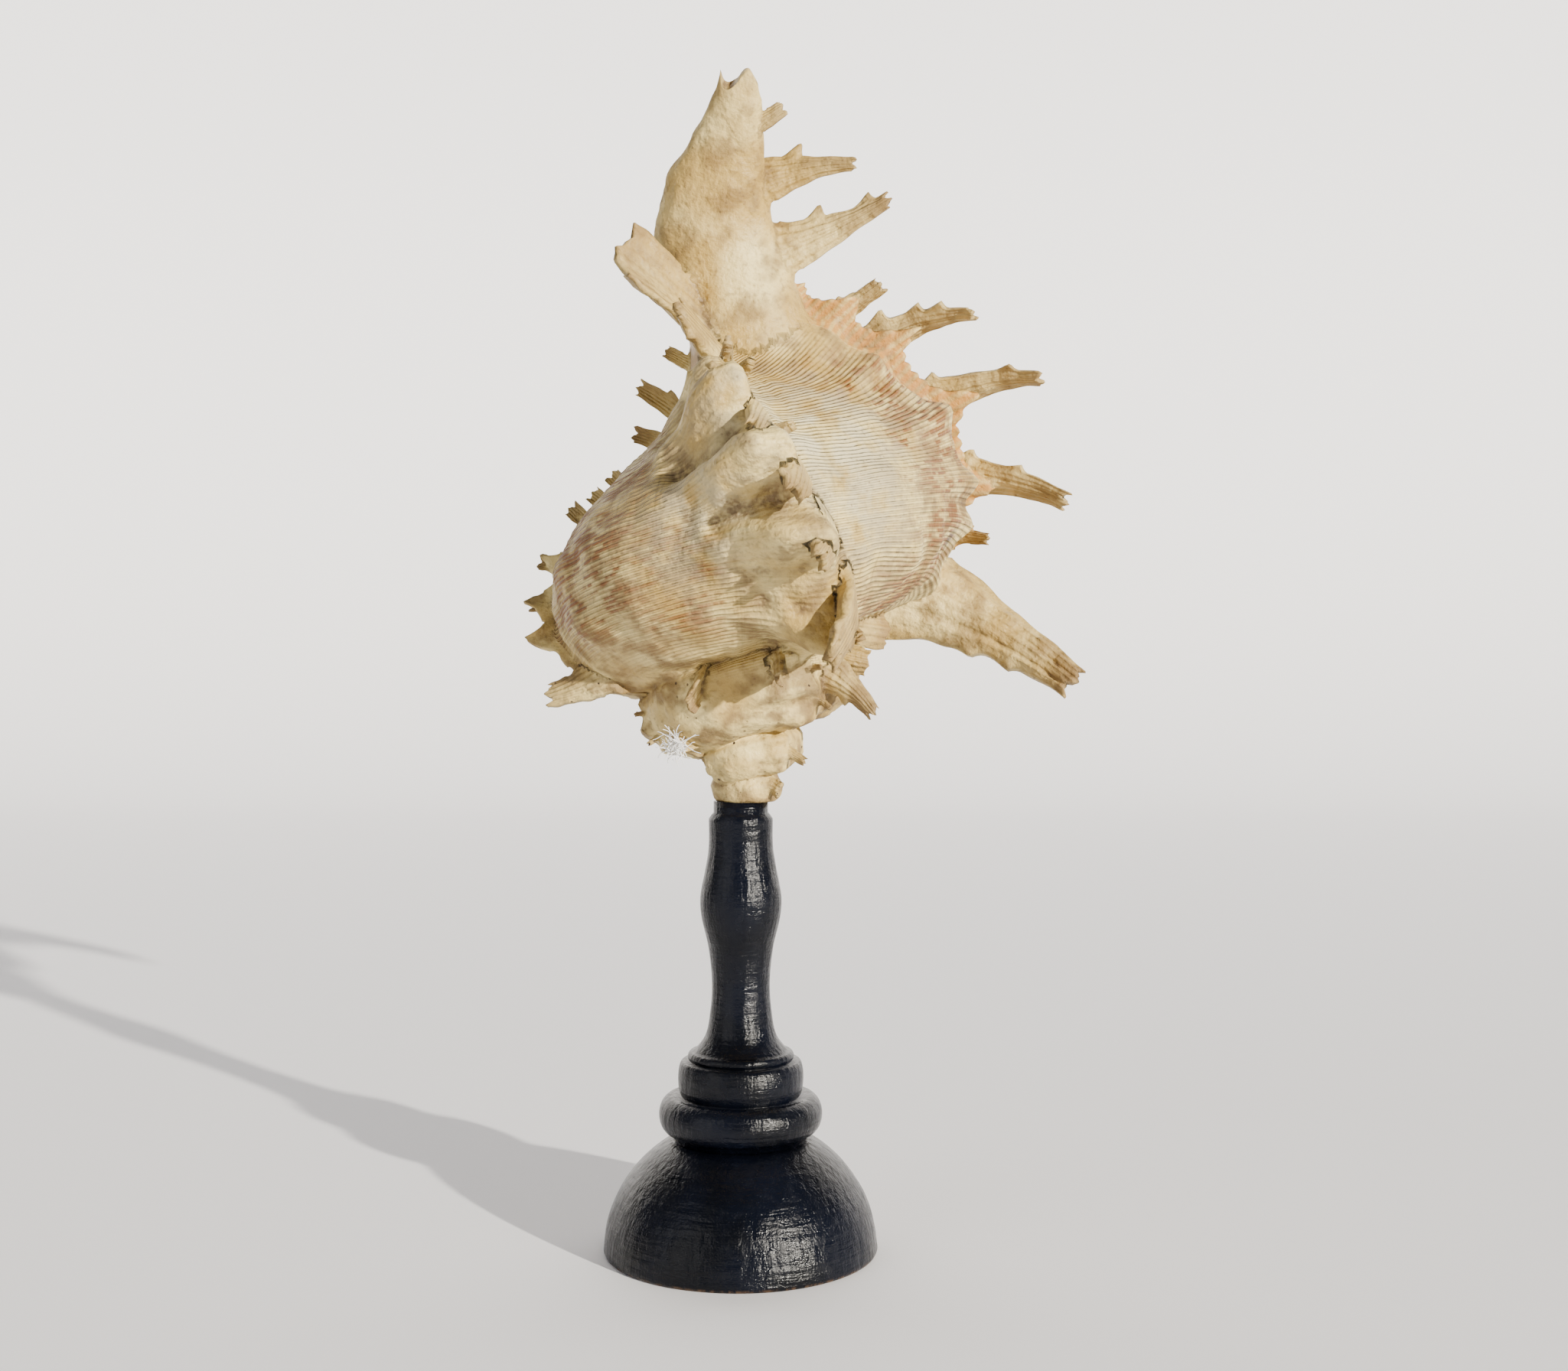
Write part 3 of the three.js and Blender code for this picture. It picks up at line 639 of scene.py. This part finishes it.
def fuse(name, solids):
    """One closed mesh from overlapping closed solids."""
    whole = mesh_object(name, *solids[0][:2])
    others = bpy.data.collections.new(name + "_parts")
    bpy.context.scene.collection.children.link(others)
    for k, solid in enumerate(solids[1:]):
        part = mesh_object(f"{name}_part_{k}", *solid[:2])
        bpy.context.scene.collection.objects.unlink(part)
        others.objects.link(part)
    join = whole.modifiers.new("join", "BOOLEAN")
    join.operation = "UNION"
    join.solver = "MANIFOLD"
    join.operand_type = "COLLECTION"
    join.collection = others
    joined = bpy.data.meshes.new_from_object(whole.evaluated_get(bpy.context.evaluated_depsgraph_get()))
    whole.modifiers.clear()
    whole.data = joined
    for part in list(others.objects):
        bpy.data.objects.remove(part)
    bpy.data.collections.remove(others)
    return whole


def nearest_values(mesh, solids):
    """Values of the nearest source point for each vertex, and how far away it was in millimetres."""
    sources = np.concatenate([points for points, _, _ in solids])
    values = np.concatenate([data for _, _, data in solids])
    tree = kdtree.KDTree(len(sources))
    for k, point in enumerate((sources * MM).tolist()):
        tree.insert(point, k)
    tree.balance()
    found = [tree.find(vertex.co) for vertex in mesh.vertices]
    return values[[hit[1] for hit in found]], np.array([hit[2] for hit in found]) / MM


def soften_seams(mesh, seam, loose, rings, rounds):
    """Rounds the creases where two solids were joined, moving loose vertices only."""
    work = bmesh.new()
    work.from_mesh(mesh)
    work.verts.ensure_lookup_table()
    near = {work.verts[k] for k in np.flatnonzero(seam)}
    for _ in range(rings):
        near |= {edge.other_vert(vert) for vert in near for edge in vert.link_edges}
    near = [vert for vert in near if loose[vert.index]]
    for _ in range(rounds):
        bmesh.ops.smooth_vert(
            work, verts=near, factor=0.5, use_axis_x=True, use_axis_y=True, use_axis_z=True
        )
    work.to_mesh(mesh)
    work.free()


def vertex_array(mesh, name):
    flat = np.empty(3 * len(mesh.vertices), np.float32)
    mesh.vertices.foreach_get(name, flat)
    return flat.reshape(-1, 3).astype(float)


def hollows(mesh):
    """How deep each vertex lies below its surroundings, in millimetres, over a few millimetres."""
    points = vertex_array(mesh, "co") / MM
    normals = vertex_array(mesh, "normal")
    edges = np.empty(2 * len(mesh.edges), np.int32)
    mesh.edges.foreach_get("vertices", edges)
    a, b = edges.reshape(-1, 2).T
    count = np.bincount(np.concatenate([a, b]), minlength=len(points))[:, None]
    smooth = points
    for _ in range(24):
        total = np.zeros_like(points)
        np.add.at(total, a, smooth[b])
        np.add.at(total, b, smooth[a])
        smooth = 0.5 * smooth + 0.5 * total / count
    return np.einsum("ij,ij->i", smooth - points, normals)


def add_values(mesh, **columns):
    for name, column in columns.items():
        layer = mesh.attributes.new(name, "FLOAT", "POINT")
        layer.data.foreach_set("value", np.asarray(column, np.float32))


# Colour patches of the shell: place, radius, strength
RUST_SPOTS = [
    ((-33, -28, 156), 20, 1.0),
    ((-38, -14, 145), 16, 0.9),
    ((-12, -45, 148), 20, 0.6),
    ((-26, -25, 173), 14, 0.8),
    ((30, 0, 197), 18, 1.0),
    ((42, -6, 180), 18, 1.0),
    ((44, -5, 164), 16, 1.0),
    ((36, -14, 152), 14, 0.8),
    ((26, -18, 147), 12, 0.8),
    ((14, 0, 216), 12, 0.5),
    ((-5, 42, 165), 30, 0.5),
]
PINK_SPOTS = [
    ((-36, -24, 165), 20, 0.35),
    ((-22, -28, 137), 16, 0.35),
    ((40, -5, 182), 18, 0.25),
    ((20, -4, 192), 12, 0.2),
]
STAIN_SPOTS = [
    ((-27, -20, 128), 2.2, 0.9),
    ((-23.5, -22.5, 127.5), 2.6, 1.0),
    ((-19.5, -25, 127), 2.4, 1.0),
    ((9.5, -33, 134.5), 3, 0.8),
    ((-14.5, -24, 126.5), 1.1, 1.0),
    ((-17, -22, 125.5), 0.9, 1.0),
    ((49, 3, 160.5), 5, 0.6),
    ((47, 3, 171), 2.5, 0.7),
]
CHALK_SPOTS = [
    ((20, -36, 186), 22, 0.9),
    ((27, -38, 168), 16, 0.6),
    ((-8, -46, 163), 16, 0.4),
]


def patches(points, spots):
    total = np.zeros(len(points))
    for place, radius, strength in spots:
        away = np.linalg.norm(points - np.array(place, float), axis=1)
        total = np.maximum(total, strength * bump(away, 0, radius))
    return total


# Materials


class Paint:
    """A material with short calls for its nodes."""

    def __init__(self, name):
        self.material = bpy.data.materials.new(name)
        self.material.use_nodes = True
        self.tree = self.material.node_tree
        self.shader = self.tree.nodes["Principled BSDF"]

    def add(self, kind, inputs, **settings):
        node = self.tree.nodes.new(kind)
        for key, value in settings.items():
            setattr(node, key, value)
        for key, value in inputs.items():
            self.feed(node.inputs[key], value)
        return node

    def feed(self, socket, value):
        if isinstance(value, bpy.types.NodeSocket):
            self.tree.links.new(value, socket)
        else:
            socket.default_value = value

    def value(self, name):
        return self.add("ShaderNodeAttribute", {}, attribute_name=name).outputs["Fac"]

    def math(self, operation, first, second=0.0):
        return self.add("ShaderNodeMath", {0: first, 1: second}, operation=operation).outputs[0]

    def times(self, *values):
        total = values[0]
        for value in values[1:]:
            total = self.math("MULTIPLY", total, value)
        return total

    def ramp(self, value, low, high, start=0.0, end=1.0):
        inputs = {"Value": value, "From Min": low, "From Max": high, "To Min": start, "To Max": end}
        node = self.add("ShaderNodeMapRange", inputs, interpolation_type="SMOOTHSTEP")
        return node.outputs["Result"]

    def mix(self, amount, first, second):
        node = self.add("ShaderNodeMix", {0: amount, 6: first, 7: second}, data_type="RGBA")
        return node.outputs[2]

    def place(self, x=1.0, y=1.0, z=1.0):
        spot = self.add("ShaderNodeTexCoord", {}).outputs["Object"]
        return self.add("ShaderNodeVectorMath", {0: spot, 1: (x, y, z)}, operation="MULTIPLY").outputs[0]

    def joined(self, x, y, z=0.0):
        return self.add("ShaderNodeCombineXYZ", {0: x, 1: y, 2: z}).outputs[0]

    def noise(self, scale, detail=3.0, vector=None):
        inputs = {"Vector": vector or self.place(), "Scale": scale, "Detail": detail}
        return self.add("ShaderNodeTexNoise", inputs).outputs["Fac"]

    def bump(self, height, distance, strength=1.0, before=None):
        inputs = {"Height": height, "Distance": distance, "Strength": strength}
        if before:
            inputs["Normal"] = before
        return self.add("ShaderNodeBump", inputs).outputs["Normal"]

    def finish(self, colour, roughness, normal):
        self.feed(self.shader.inputs["Base Color"], colour)
        self.feed(self.shader.inputs["Roughness"], roughness)
        self.feed(self.shader.inputs["Normal"], normal)
        return self.material


CREAM = (0.46, 0.305, 0.08, 1)
PALE = (0.77, 0.61, 0.25, 1)
BUFF = (0.175, 0.10, 0.026, 1)
RUST = (0.19, 0.055, 0.005, 1)
PINK = (0.36, 0.16, 0.06, 1)
TAN = (0.38, 0.255, 0.085, 1)
TIP_BROWN = (0.19, 0.11, 0.04, 1)
WEB_ORANGE = (0.50, 0.22, 0.035, 1)
STAIN = (0.02, 0.008, 0.008, 1)
CHALK = (0.80, 0.73, 0.47, 1)
# Colour of dirt specks and grime, also used for the painted shade in hollows
DIRT_AND_HOLLOW_SHADE = (0.13, 0.075, 0.03, 1)
MOUTH = (0.60, 0.45, 0.29, 1)


def shell_material():
    paint = Paint("weathered_shell")
    cord = paint.value("cord")
    growth = paint.value("growth")
    blade = paint.value("blade")
    inside = paint.value("inside")
    corded = paint.value("corded")
    broad = paint.noise(55, 2)
    patchy = paint.noise(150, 3)
    fine = paint.noise(800, 3)

    colour = paint.mix(paint.ramp(broad, 0.35, 0.65), CREAM, PALE)
    colour = paint.mix(paint.ramp(patchy, 0.46, 0.66, 0, 0.65), colour, BUFF)
    colour = paint.mix(paint.ramp(fine, 0.5, 0.75, 0, 0.45), colour, BUFF)

    wave = paint.math("COSINE", paint.times(cord, 2 * math.pi))
    ridge = paint.ramp(wave, -1, 1)
    # Painted shade: the grooves between the spiral cords are darkened
    groove = paint.times(paint.ramp(ridge, 0.0, 0.5, 1, 0), corded)
    colour = paint.mix(paint.times(groove, paint.ramp(patchy, 0.35, 0.65, 0.2, 0.75)), colour, BUFF)

    flush = paint.times(paint.value("pink"), paint.ramp(patchy, 0.3, 0.7, 0.1, 0.7))
    colour = paint.mix(flush, colour, PINK)

    row = paint.times(paint.math("ROUND", cord), 7.31)
    dashes = paint.noise(1.0, 1.0, paint.joined(row, paint.times(growth, 0.11)))
    bands = paint.noise(1.0, 2.0, paint.joined(paint.times(cord, 0.2), paint.times(growth, 0.05)))
    rust = paint.times(
        paint.value("rust"),
        paint.ramp(dashes, 0.42, 0.54),
        paint.ramp(bands, 0.38, 0.55, 0.15, 1),
        paint.ramp(ridge, 0.1, 0.6, 0.35, 1),
        paint.ramp(fine, 0.25, 0.5, 0.4, 1),
        corded,
    )
    rust = paint.math("MINIMUM", paint.times(rust, 1.6), 0.9)
    colour = paint.mix(rust, colour, RUST)

    drift = paint.joined(paint.times(growth, 0.8), paint.times(cord, 0.03))
    lines = paint.noise(1.0, 2.0, drift)
    colour = paint.mix(paint.times(paint.ramp(lines, 0.55, 0.75, 0, 0.4), corded), colour, BUFF)
    chalk = paint.times(paint.value("chalk"), paint.ramp(patchy, 0.35, 0.6))
    colour = paint.mix(chalk, colour, CHALK)

    grain = paint.times(paint.value("grain"), paint.ramp(wave, -1, 1, 1, 0))
    colour = paint.mix(paint.times(grain, paint.ramp(patchy, 0.4, 0.65, 0, 0.22)), colour, BUFF)
    flutes = paint.math("SINE", paint.times(cord, 2 * math.pi * LIP_FLUTES / CORDS))
    orange = paint.times(paint.value("web"), paint.ramp(flutes, -0.6, 1.0, 0.8, 0.2))
    colour = paint.mix(orange, colour, WEB_ORANGE)

    colour = paint.mix(paint.ramp(blade, 0.25, 0.9, 0, 0.6), colour, TAN)
    ends = paint.times(paint.ramp(blade, 0.7, 1.0), paint.ramp(patchy, 0.3, 0.6), 0.55)
    colour = paint.mix(ends, colour, TIP_BROWN)
    specks = paint.add("ShaderNodeTexVoronoi", {"Vector": paint.place(), "Scale": 650.0}).outputs["Distance"]
    specks = paint.times(paint.ramp(specks, 0.1, 0.24, 1, 0), paint.ramp(patchy, 0.45, 0.65), 0.55)
    colour = paint.mix(specks, colour, DIRT_AND_HOLLOW_SHADE)

    # Painted shade: darker where the surface lies below its surroundings, in hollows and between ribs
    hollow_shade = paint.times(paint.ramp(paint.value("hollow"), 0.04, 0.7), paint.ramp(fine, 0.3, 0.6, 0.35, 0.85))
    colour = paint.mix(hollow_shade, colour, DIRT_AND_HOLLOW_SHADE)
    grime = paint.times(paint.value("pitted"), paint.ramp(patchy, 0.45, 0.65, 0.05, 0.45))
    colour = paint.mix(grime, colour, DIRT_AND_HOLLOW_SHADE)
    stain = paint.times(paint.ramp(paint.value("stain"), 0.3, 0.6), paint.ramp(fine, 0.2, 0.5))
    colour = paint.mix(stain, colour, STAIN)
    dots = paint.add("ShaderNodeTexVoronoi", {"Vector": paint.place(), "Scale": 420.0}).outputs["Distance"]
    holes = paint.times(paint.ramp(dots, 0.1, 0.16, 1, 0), paint.ramp(broad, 0.5, 0.6), paint.value("pitted"))
    colour = paint.mix(holes, colour, STAIN)
    colour = paint.mix(inside, colour, MOUTH)

    rough = paint.ramp(patchy, 0.3, 0.7, 0.5, 0.75)
    rough = paint.math("SUBTRACT", rough, paint.times(inside, 0.3))
    chips = paint.times(paint.noise(300, 4), paint.ramp(blade, 0.02, 0.1), paint.ramp(inside, 0, 1, 1, 0))
    normal = paint.bump(chips, 0.0014, 0.7)
    normal = paint.bump(paint.math("SUBTRACT", 1.0, grain), 0.0005, 0.5, normal)
    normal = paint.bump(paint.times(ridge, corded), 0.0005, 0.8, normal)
    normal = paint.bump(paint.math("SUBTRACT", fine, holes), 0.0005, 0.7, normal)
    return paint.finish(colour, rough, normal)


# Joins of the shell: gap that marks one, then rings and rounds of smoothing
SEAM_GAP = 0.02
CANAL_SEAM = (12, 60)
OTHER_SEAM = (3, 8)

# Heights where the cords fade in and out, and where the pits of the spire fade out
CORDS_LOW = (128, 140)
CORDS_HIGH = (192, 212)
PITS_HIGH = (126, 140)


def fades_in(height, band):
    return smoothstep(height, band[0], band[1])


def fades_out(height, band):
    return smoothstep(-height, -band[1], -band[0])


def build_shell():
    solids = whorl_solids() + [columella(), spire_stump(), canal()]
    solids.append(web(LIP, LIP_SPAN, LIP_WEB, LIP_FRONDS))
    solids.append(web(LEFT, LEFT_SPAN, LEFT_WEB, LEFT_FRONDS))
    solids += frond_solids()
    shell = fuse("shell_grown", solids)
    values, gap = nearest_values(shell.data, solids)
    points = vertex_array(shell.data, "co") / MM
    seam = gap > SEAM_GAP
    whorl = values[:, 2] < WHORL_BLADE
    soften_seams(shell.data, seam & (points[:, 2] > CANAL_ROOT), whorl, *CANAL_SEAM)
    soften_seams(shell.data, seam, np.ones_like(seam), *OTHER_SEAM)
    points = vertex_array(shell.data, "co") / MM
    height = points[:, 2]
    corded = (1 - values[:, 3]) * smoothstep(-values[:, 2], -WHORL_BLADE, -0.02)
    add_values(
        shell.data,
        cord=values[:, 0],
        growth=values[:, 1],
        blade=values[:, 2],
        inside=values[:, 3],
        web=values[:, 4],
        grain=values[:, 5],
        corded=corded * fades_in(height, CORDS_LOW) * fades_out(height, CORDS_HIGH),
        hollow=hollows(shell.data),
        rust=patches(points, RUST_SPOTS),
        pink=patches(points, PINK_SPOTS),
        stain=patches(points, STAIN_SPOTS),
        chalk=patches(points, CHALK_SPOTS),
        pitted=fades_out(height, PITS_HIGH),
    )
    shell.data.shade_smooth()
    shell.data.materials.clear()
    shell.data.materials.append(shell_material())
    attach(shell, "root")
    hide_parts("shell")


# Turned stand, as in the solids apart from small changes to the beads: radius, height, bulge, half height
FOOT_RADIUS = 31.0
FOOT_DOME = 29.2
FOOT_TOP = 25.0
FOOT_EDGE = 0.8
COLUMN_TOP = 101.5
NECK_RADIUS = 6.2
NECK_START = 99.0
NECK_STEP = 0.5
SHAFT_END = 98.4
UNDERCUT_RADIUS = 15.0
BEADS = [(15.6, 30.8, 2.9, 4.2), (13.2, 38.8, 1.0, 4.0), (11.2, 43.8, 0.8, 1.1)]
SHAFT = [
    (10.6, 45),
    (8, 48.6),
    (6.9, 54.5),
    (6.6, 61),
    (7.4, 68.5),
    (8.9, 75),
    (9.2, 80),
    (8, 86.5),
    (7.3, 91.5),
    (7.3, 97.5),
]
LATHE_SIDES = 128
LATHE_WOBBLE = 0.006


def lathe(name, outline):
    """Closed turned piece from an outline of radius and height that starts and ends on the axis."""
    outline = np.array(outline, float)
    inner = outline[1:-1]
    rows = len(inner)
    turn = np.linspace(0, 2 * np.pi, LATHE_SIDES, endpoint=False)
    radius, _ = np.meshgrid(inner[:, 0], turn, indexing="ij")
    height, turn = np.meshgrid(inner[:, 1], turn, indexing="ij")
    points = np.stack([radius * np.cos(turn), radius * np.sin(turn), height], axis=-1)
    points[..., :2] *= (1 + LATHE_WOBBLE * noise(points, 9, 41) * (height > 1))[..., None]
    i, j = np.meshgrid(np.arange(rows - 1), np.arange(LATHE_SIDES), indexing="ij")
    a = (i * LATHE_SIDES + j).ravel()
    b = (i * LATHE_SIDES + (j + 1) % LATHE_SIDES).ravel()
    quads = np.stack([a, b, b + LATHE_SIDES, a + LATHE_SIDES], axis=1)
    spokes = np.arange(LATHE_SIDES)
    nexts = (spokes + 1) % LATHE_SIDES
    centre = np.full(LATHE_SIDES, rows * LATHE_SIDES)
    top = (rows - 1) * LATHE_SIDES
    bottom_cap = np.stack([nexts, spokes, centre], axis=1)
    top_cap = np.stack([top + spokes, top + nexts, centre + 1], axis=1)
    ends = np.array([[0, 0, outline[0, 1]], [0, 0, outline[-1, 1]]])
    piece = mesh_object(name, np.concatenate([points.reshape(-1, 3), ends]), [quads, bottom_cap, top_cap])
    piece.data.shade_smooth()
    return piece


def foot_outline():
    low = math.asin(FOOT_EDGE / FOOT_DOME)
    high = math.asin(FOOT_TOP / FOOT_DOME)
    turn = np.linspace(low, high, 40)
    outline = [(0, 0), (FOOT_RADIUS - 2.0, 0), (FOOT_RADIUS - 0.8, 0), (FOOT_RADIUS - 0.25, 0.25)]
    outline += list(zip(FOOT_RADIUS * np.cos(turn), FOOT_DOME * np.sin(turn)))
    return outline + [(8, FOOT_TOP), (0, FOOT_TOP)]


def column_outline():
    outline = [(0, FOOT_TOP), (UNDERCUT_RADIUS, FOOT_TOP)]
    for radius, middle, bulge, half in BEADS:
        turn = np.radians(np.linspace(-90, 90, 17))
        heights = np.maximum(FOOT_TOP, middle + half * np.sin(turn))
        outline += list(zip(radius + bulge * np.cos(turn), heights))
    outline += [tuple(row) for row in smooth_curve(SHAFT, np.linspace(0, 1, 60))]
    outline += [(NECK_RADIUS + NECK_STEP, SHAFT_END), (NECK_RADIUS, NECK_START)]
    return outline + [(NECK_RADIUS, COLUMN_TOP), (0, COLUMN_TOP)]


BLACK = (0.0012, 0.0016, 0.003, 1)
BLUE_BLACK = (0.0024, 0.0034, 0.0075, 1)
BARE_WOOD = (0.07, 0.04, 0.022, 1)


def stand_material():
    paint = Paint("black_painted_wood")
    rings = paint.noise(1.0, 5.0, paint.place(90, 90, 900))
    strokes = paint.noise(1.0, 5.0, paint.place(700, 700, 110))
    grit = paint.noise(2200, 3)
    colour = paint.mix(paint.ramp(paint.noise(60, 4), 0.35, 0.65), BLACK, BLUE_BLACK)
    height = paint.add("ShaderNodeSeparateXYZ", {0: paint.place()}).outputs[2]
    worn = paint.times(paint.ramp(height, 0.0002, 0.0011, 1, 0), paint.ramp(strokes, 0.4, 0.6))
    colour = paint.mix(worn, colour, BARE_WOOD)
    rough = paint.ramp(paint.noise(400, 4), 0.3, 0.7, 0.12, 0.3)
    rough = paint.math("ADD", rough, paint.times(worn, 0.3))
    normal = paint.bump(paint.math("ADD", rings, strokes), 0.0006, 0.5)
    normal = paint.bump(grit, 0.00025, 0.45, normal)
    paint.shader.inputs["Specular IOR Level"].default_value = 0.2
    return paint.finish(colour, rough, normal)


def build_stand():
    material = stand_material()
    for name, node, outline in (
        ("painted_foot", "dome_foot", foot_outline()),
        ("painted_column", "turned_column", column_outline()),
    ):
        piece = lathe(name, outline)
        piece.data.materials.append(material)
        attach(piece, "root")
        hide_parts(node)


# Tuft of white lint caught on a spire frond
LINT_PLACE = np.array([-13.6, -17.0, 115.0])
LINT_FIBRES = 110
LINT_POINTS = 9
LINT_SIDES = 5
LINT_RADIUS = 0.08
LINT_SEED = 7
LINT_GREY = (0.80, 0.80, 0.80, 1)
LINT_WHITE = (0.92, 0.92, 0.90, 1)


def lint_fibre(random):
    """Points and faces of one thin curved fibre."""
    heading = unit(random.normal(size=3) + np.array([0.0, -0.4, -0.3]))
    curl = unit(random.normal(size=3))
    length = random.uniform(1.8, 4.6)
    start = LINT_PLACE + random.normal(size=3) * (1.0, 0.6, 0.8)
    share = np.linspace(0, 1, LINT_POINTS)[:, None]
    bend = np.sin(share * random.uniform(2, 6)) * random.uniform(0.3, 1.1)
    centres = start + length * share * heading + bend * curl
    flow = unit(np.gradient(centres, axis=0))
    first = unit(np.cross(flow, curl + heading * 0.3))
    second = np.cross(flow, first)
    turn = 2 * np.pi * np.arange(LINT_SIDES) / LINT_SIDES
    ring = np.cos(turn)[None, :, None] * first[:, None] + np.sin(turn)[None, :, None] * second[:, None]
    points = (centres[:, None] + LINT_RADIUS * ring).reshape(-1, 3)
    i, j = np.meshgrid(np.arange(LINT_POINTS - 1), np.arange(LINT_SIDES), indexing="ij")
    a = (i * LINT_SIDES + j).ravel()
    b = (i * LINT_SIDES + (j + 1) % LINT_SIDES).ravel()
    return points, np.stack([a, b, b + LINT_SIDES, a + LINT_SIDES], axis=1)


def lint_material():
    paint = Paint("white_lint")
    colour = paint.mix(paint.noise(900, 2), LINT_GREY, LINT_WHITE)
    normal = paint.bump(paint.noise(4000, 2), 0.00002, 0.5)
    return paint.finish(colour, 0.8, normal)


def build_lint():
    random = np.random.default_rng(LINT_SEED)
    fibres = [lint_fibre(random) for _ in range(LINT_FIBRES)]
    count = LINT_POINTS * LINT_SIDES
    points = np.concatenate([fibre[0] for fibre in fibres])
    faces = [fibre[1] + k * count for k, fibre in enumerate(fibres)]
    tuft = mesh_object("lint_tuft", points, faces)
    tuft.data.shade_smooth()
    tuft.data.materials.append(lint_material())
    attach(tuft, "root")


# Camera at the photo's place: level, 400 mm in front of the column
CAMERA_PLACE = (9.8, -400.0, 127.7)
IMAGE_WIDTH = 2049
FOCAL_PIXELS = 2303
SENSOR = 36.0


def build_camera():
    data = bpy.data.cameras.new("camera")
    data.sensor_width = SENSOR
    data.lens = SENSOR * FOCAL_PIXELS / IMAGE_WIDTH
    camera = bpy.data.objects.new("camera", data)
    camera.location = Vector(CAMERA_PLACE) * MM
    camera.rotation_euler = (math.pi / 2, 0, 0)
    bpy.context.scene.collection.objects.link(camera)
    bpy.context.scene.camera = camera


# Stage: a pale floor that sweeps up far behind the object
FLOOR_HALF = 4.0
SWEEP_START = 1.3
SWEEP_CURVE = 0.8
SWEEP_HEIGHT = 3.0
PAPER = (0.94, 0.94, 0.97, 1)
SKY = (0.88, 0.91, 1.0, 1)
SKY_STRENGTH = 0.16

# Lamps: direction towards the lamp, strength, angle across in degrees, colour
LAMPS = {
    "key": ((0.66, -0.72, 0.23), 9.6, 1.2, (1.0, 0.94, 0.83)),
    "fill": ((-0.72, -0.62, 0.3), 0.7, 40.0, (1.0, 0.98, 0.95)),
    "back": ((-0.45, 0.75, 0.6), 0.7, 30.0, (0.95, 0.97, 1.0)),
}


def build_stage():
    outline = [(-FLOOR_HALF, 0.0), (SWEEP_START, 0.0)]
    for turn in np.linspace(0, np.pi / 2, 16)[1:]:
        outline.append((SWEEP_START + SWEEP_CURVE * math.sin(turn), SWEEP_CURVE * (1 - math.cos(turn))))
    outline.append((SWEEP_START + SWEEP_CURVE, SWEEP_HEIGHT))
    corners = [(x, y, z) for y, z in outline for x in (-FLOOR_HALF, FLOOR_HALF)]
    faces = [(2 * k, 2 * k + 1, 2 * k + 3, 2 * k + 2) for k in range(len(outline) - 1)]
    mesh = bpy.data.meshes.new("pale_sweep")
    mesh.from_pydata(corners, [], faces)
    mesh.shade_smooth()
    sweep = bpy.data.objects.new("pale_sweep", mesh)
    bpy.context.scene.collection.objects.link(sweep)
    paint = Paint("pale_paper")
    paint.shader.inputs["Base Color"].default_value = PAPER
    paint.shader.inputs["Roughness"].default_value = 0.8
    mesh.materials.append(paint.material)
    world = bpy.data.worlds.new("pale")
    world.use_nodes = True
    world.node_tree.nodes["Background"].inputs["Color"].default_value = SKY
    world.node_tree.nodes["Background"].inputs["Strength"].default_value = SKY_STRENGTH
    bpy.context.scene.world = world


def build_lamps():
    for name, (direction, strength, across, colour) in LAMPS.items():
        data = bpy.data.lights.new(name, "SUN")
        data.energy = strength
        data.angle = math.radians(across)
        data.color = colour
        lamp = bpy.data.objects.new(name, data)
        lamp.rotation_euler = Vector(direction).to_track_quat("Z", "Y").to_euler()
        bpy.context.scene.collection.objects.link(lamp)


build_shell()
build_stand()
build_lint()
build_camera()
build_stage()
build_lamps()
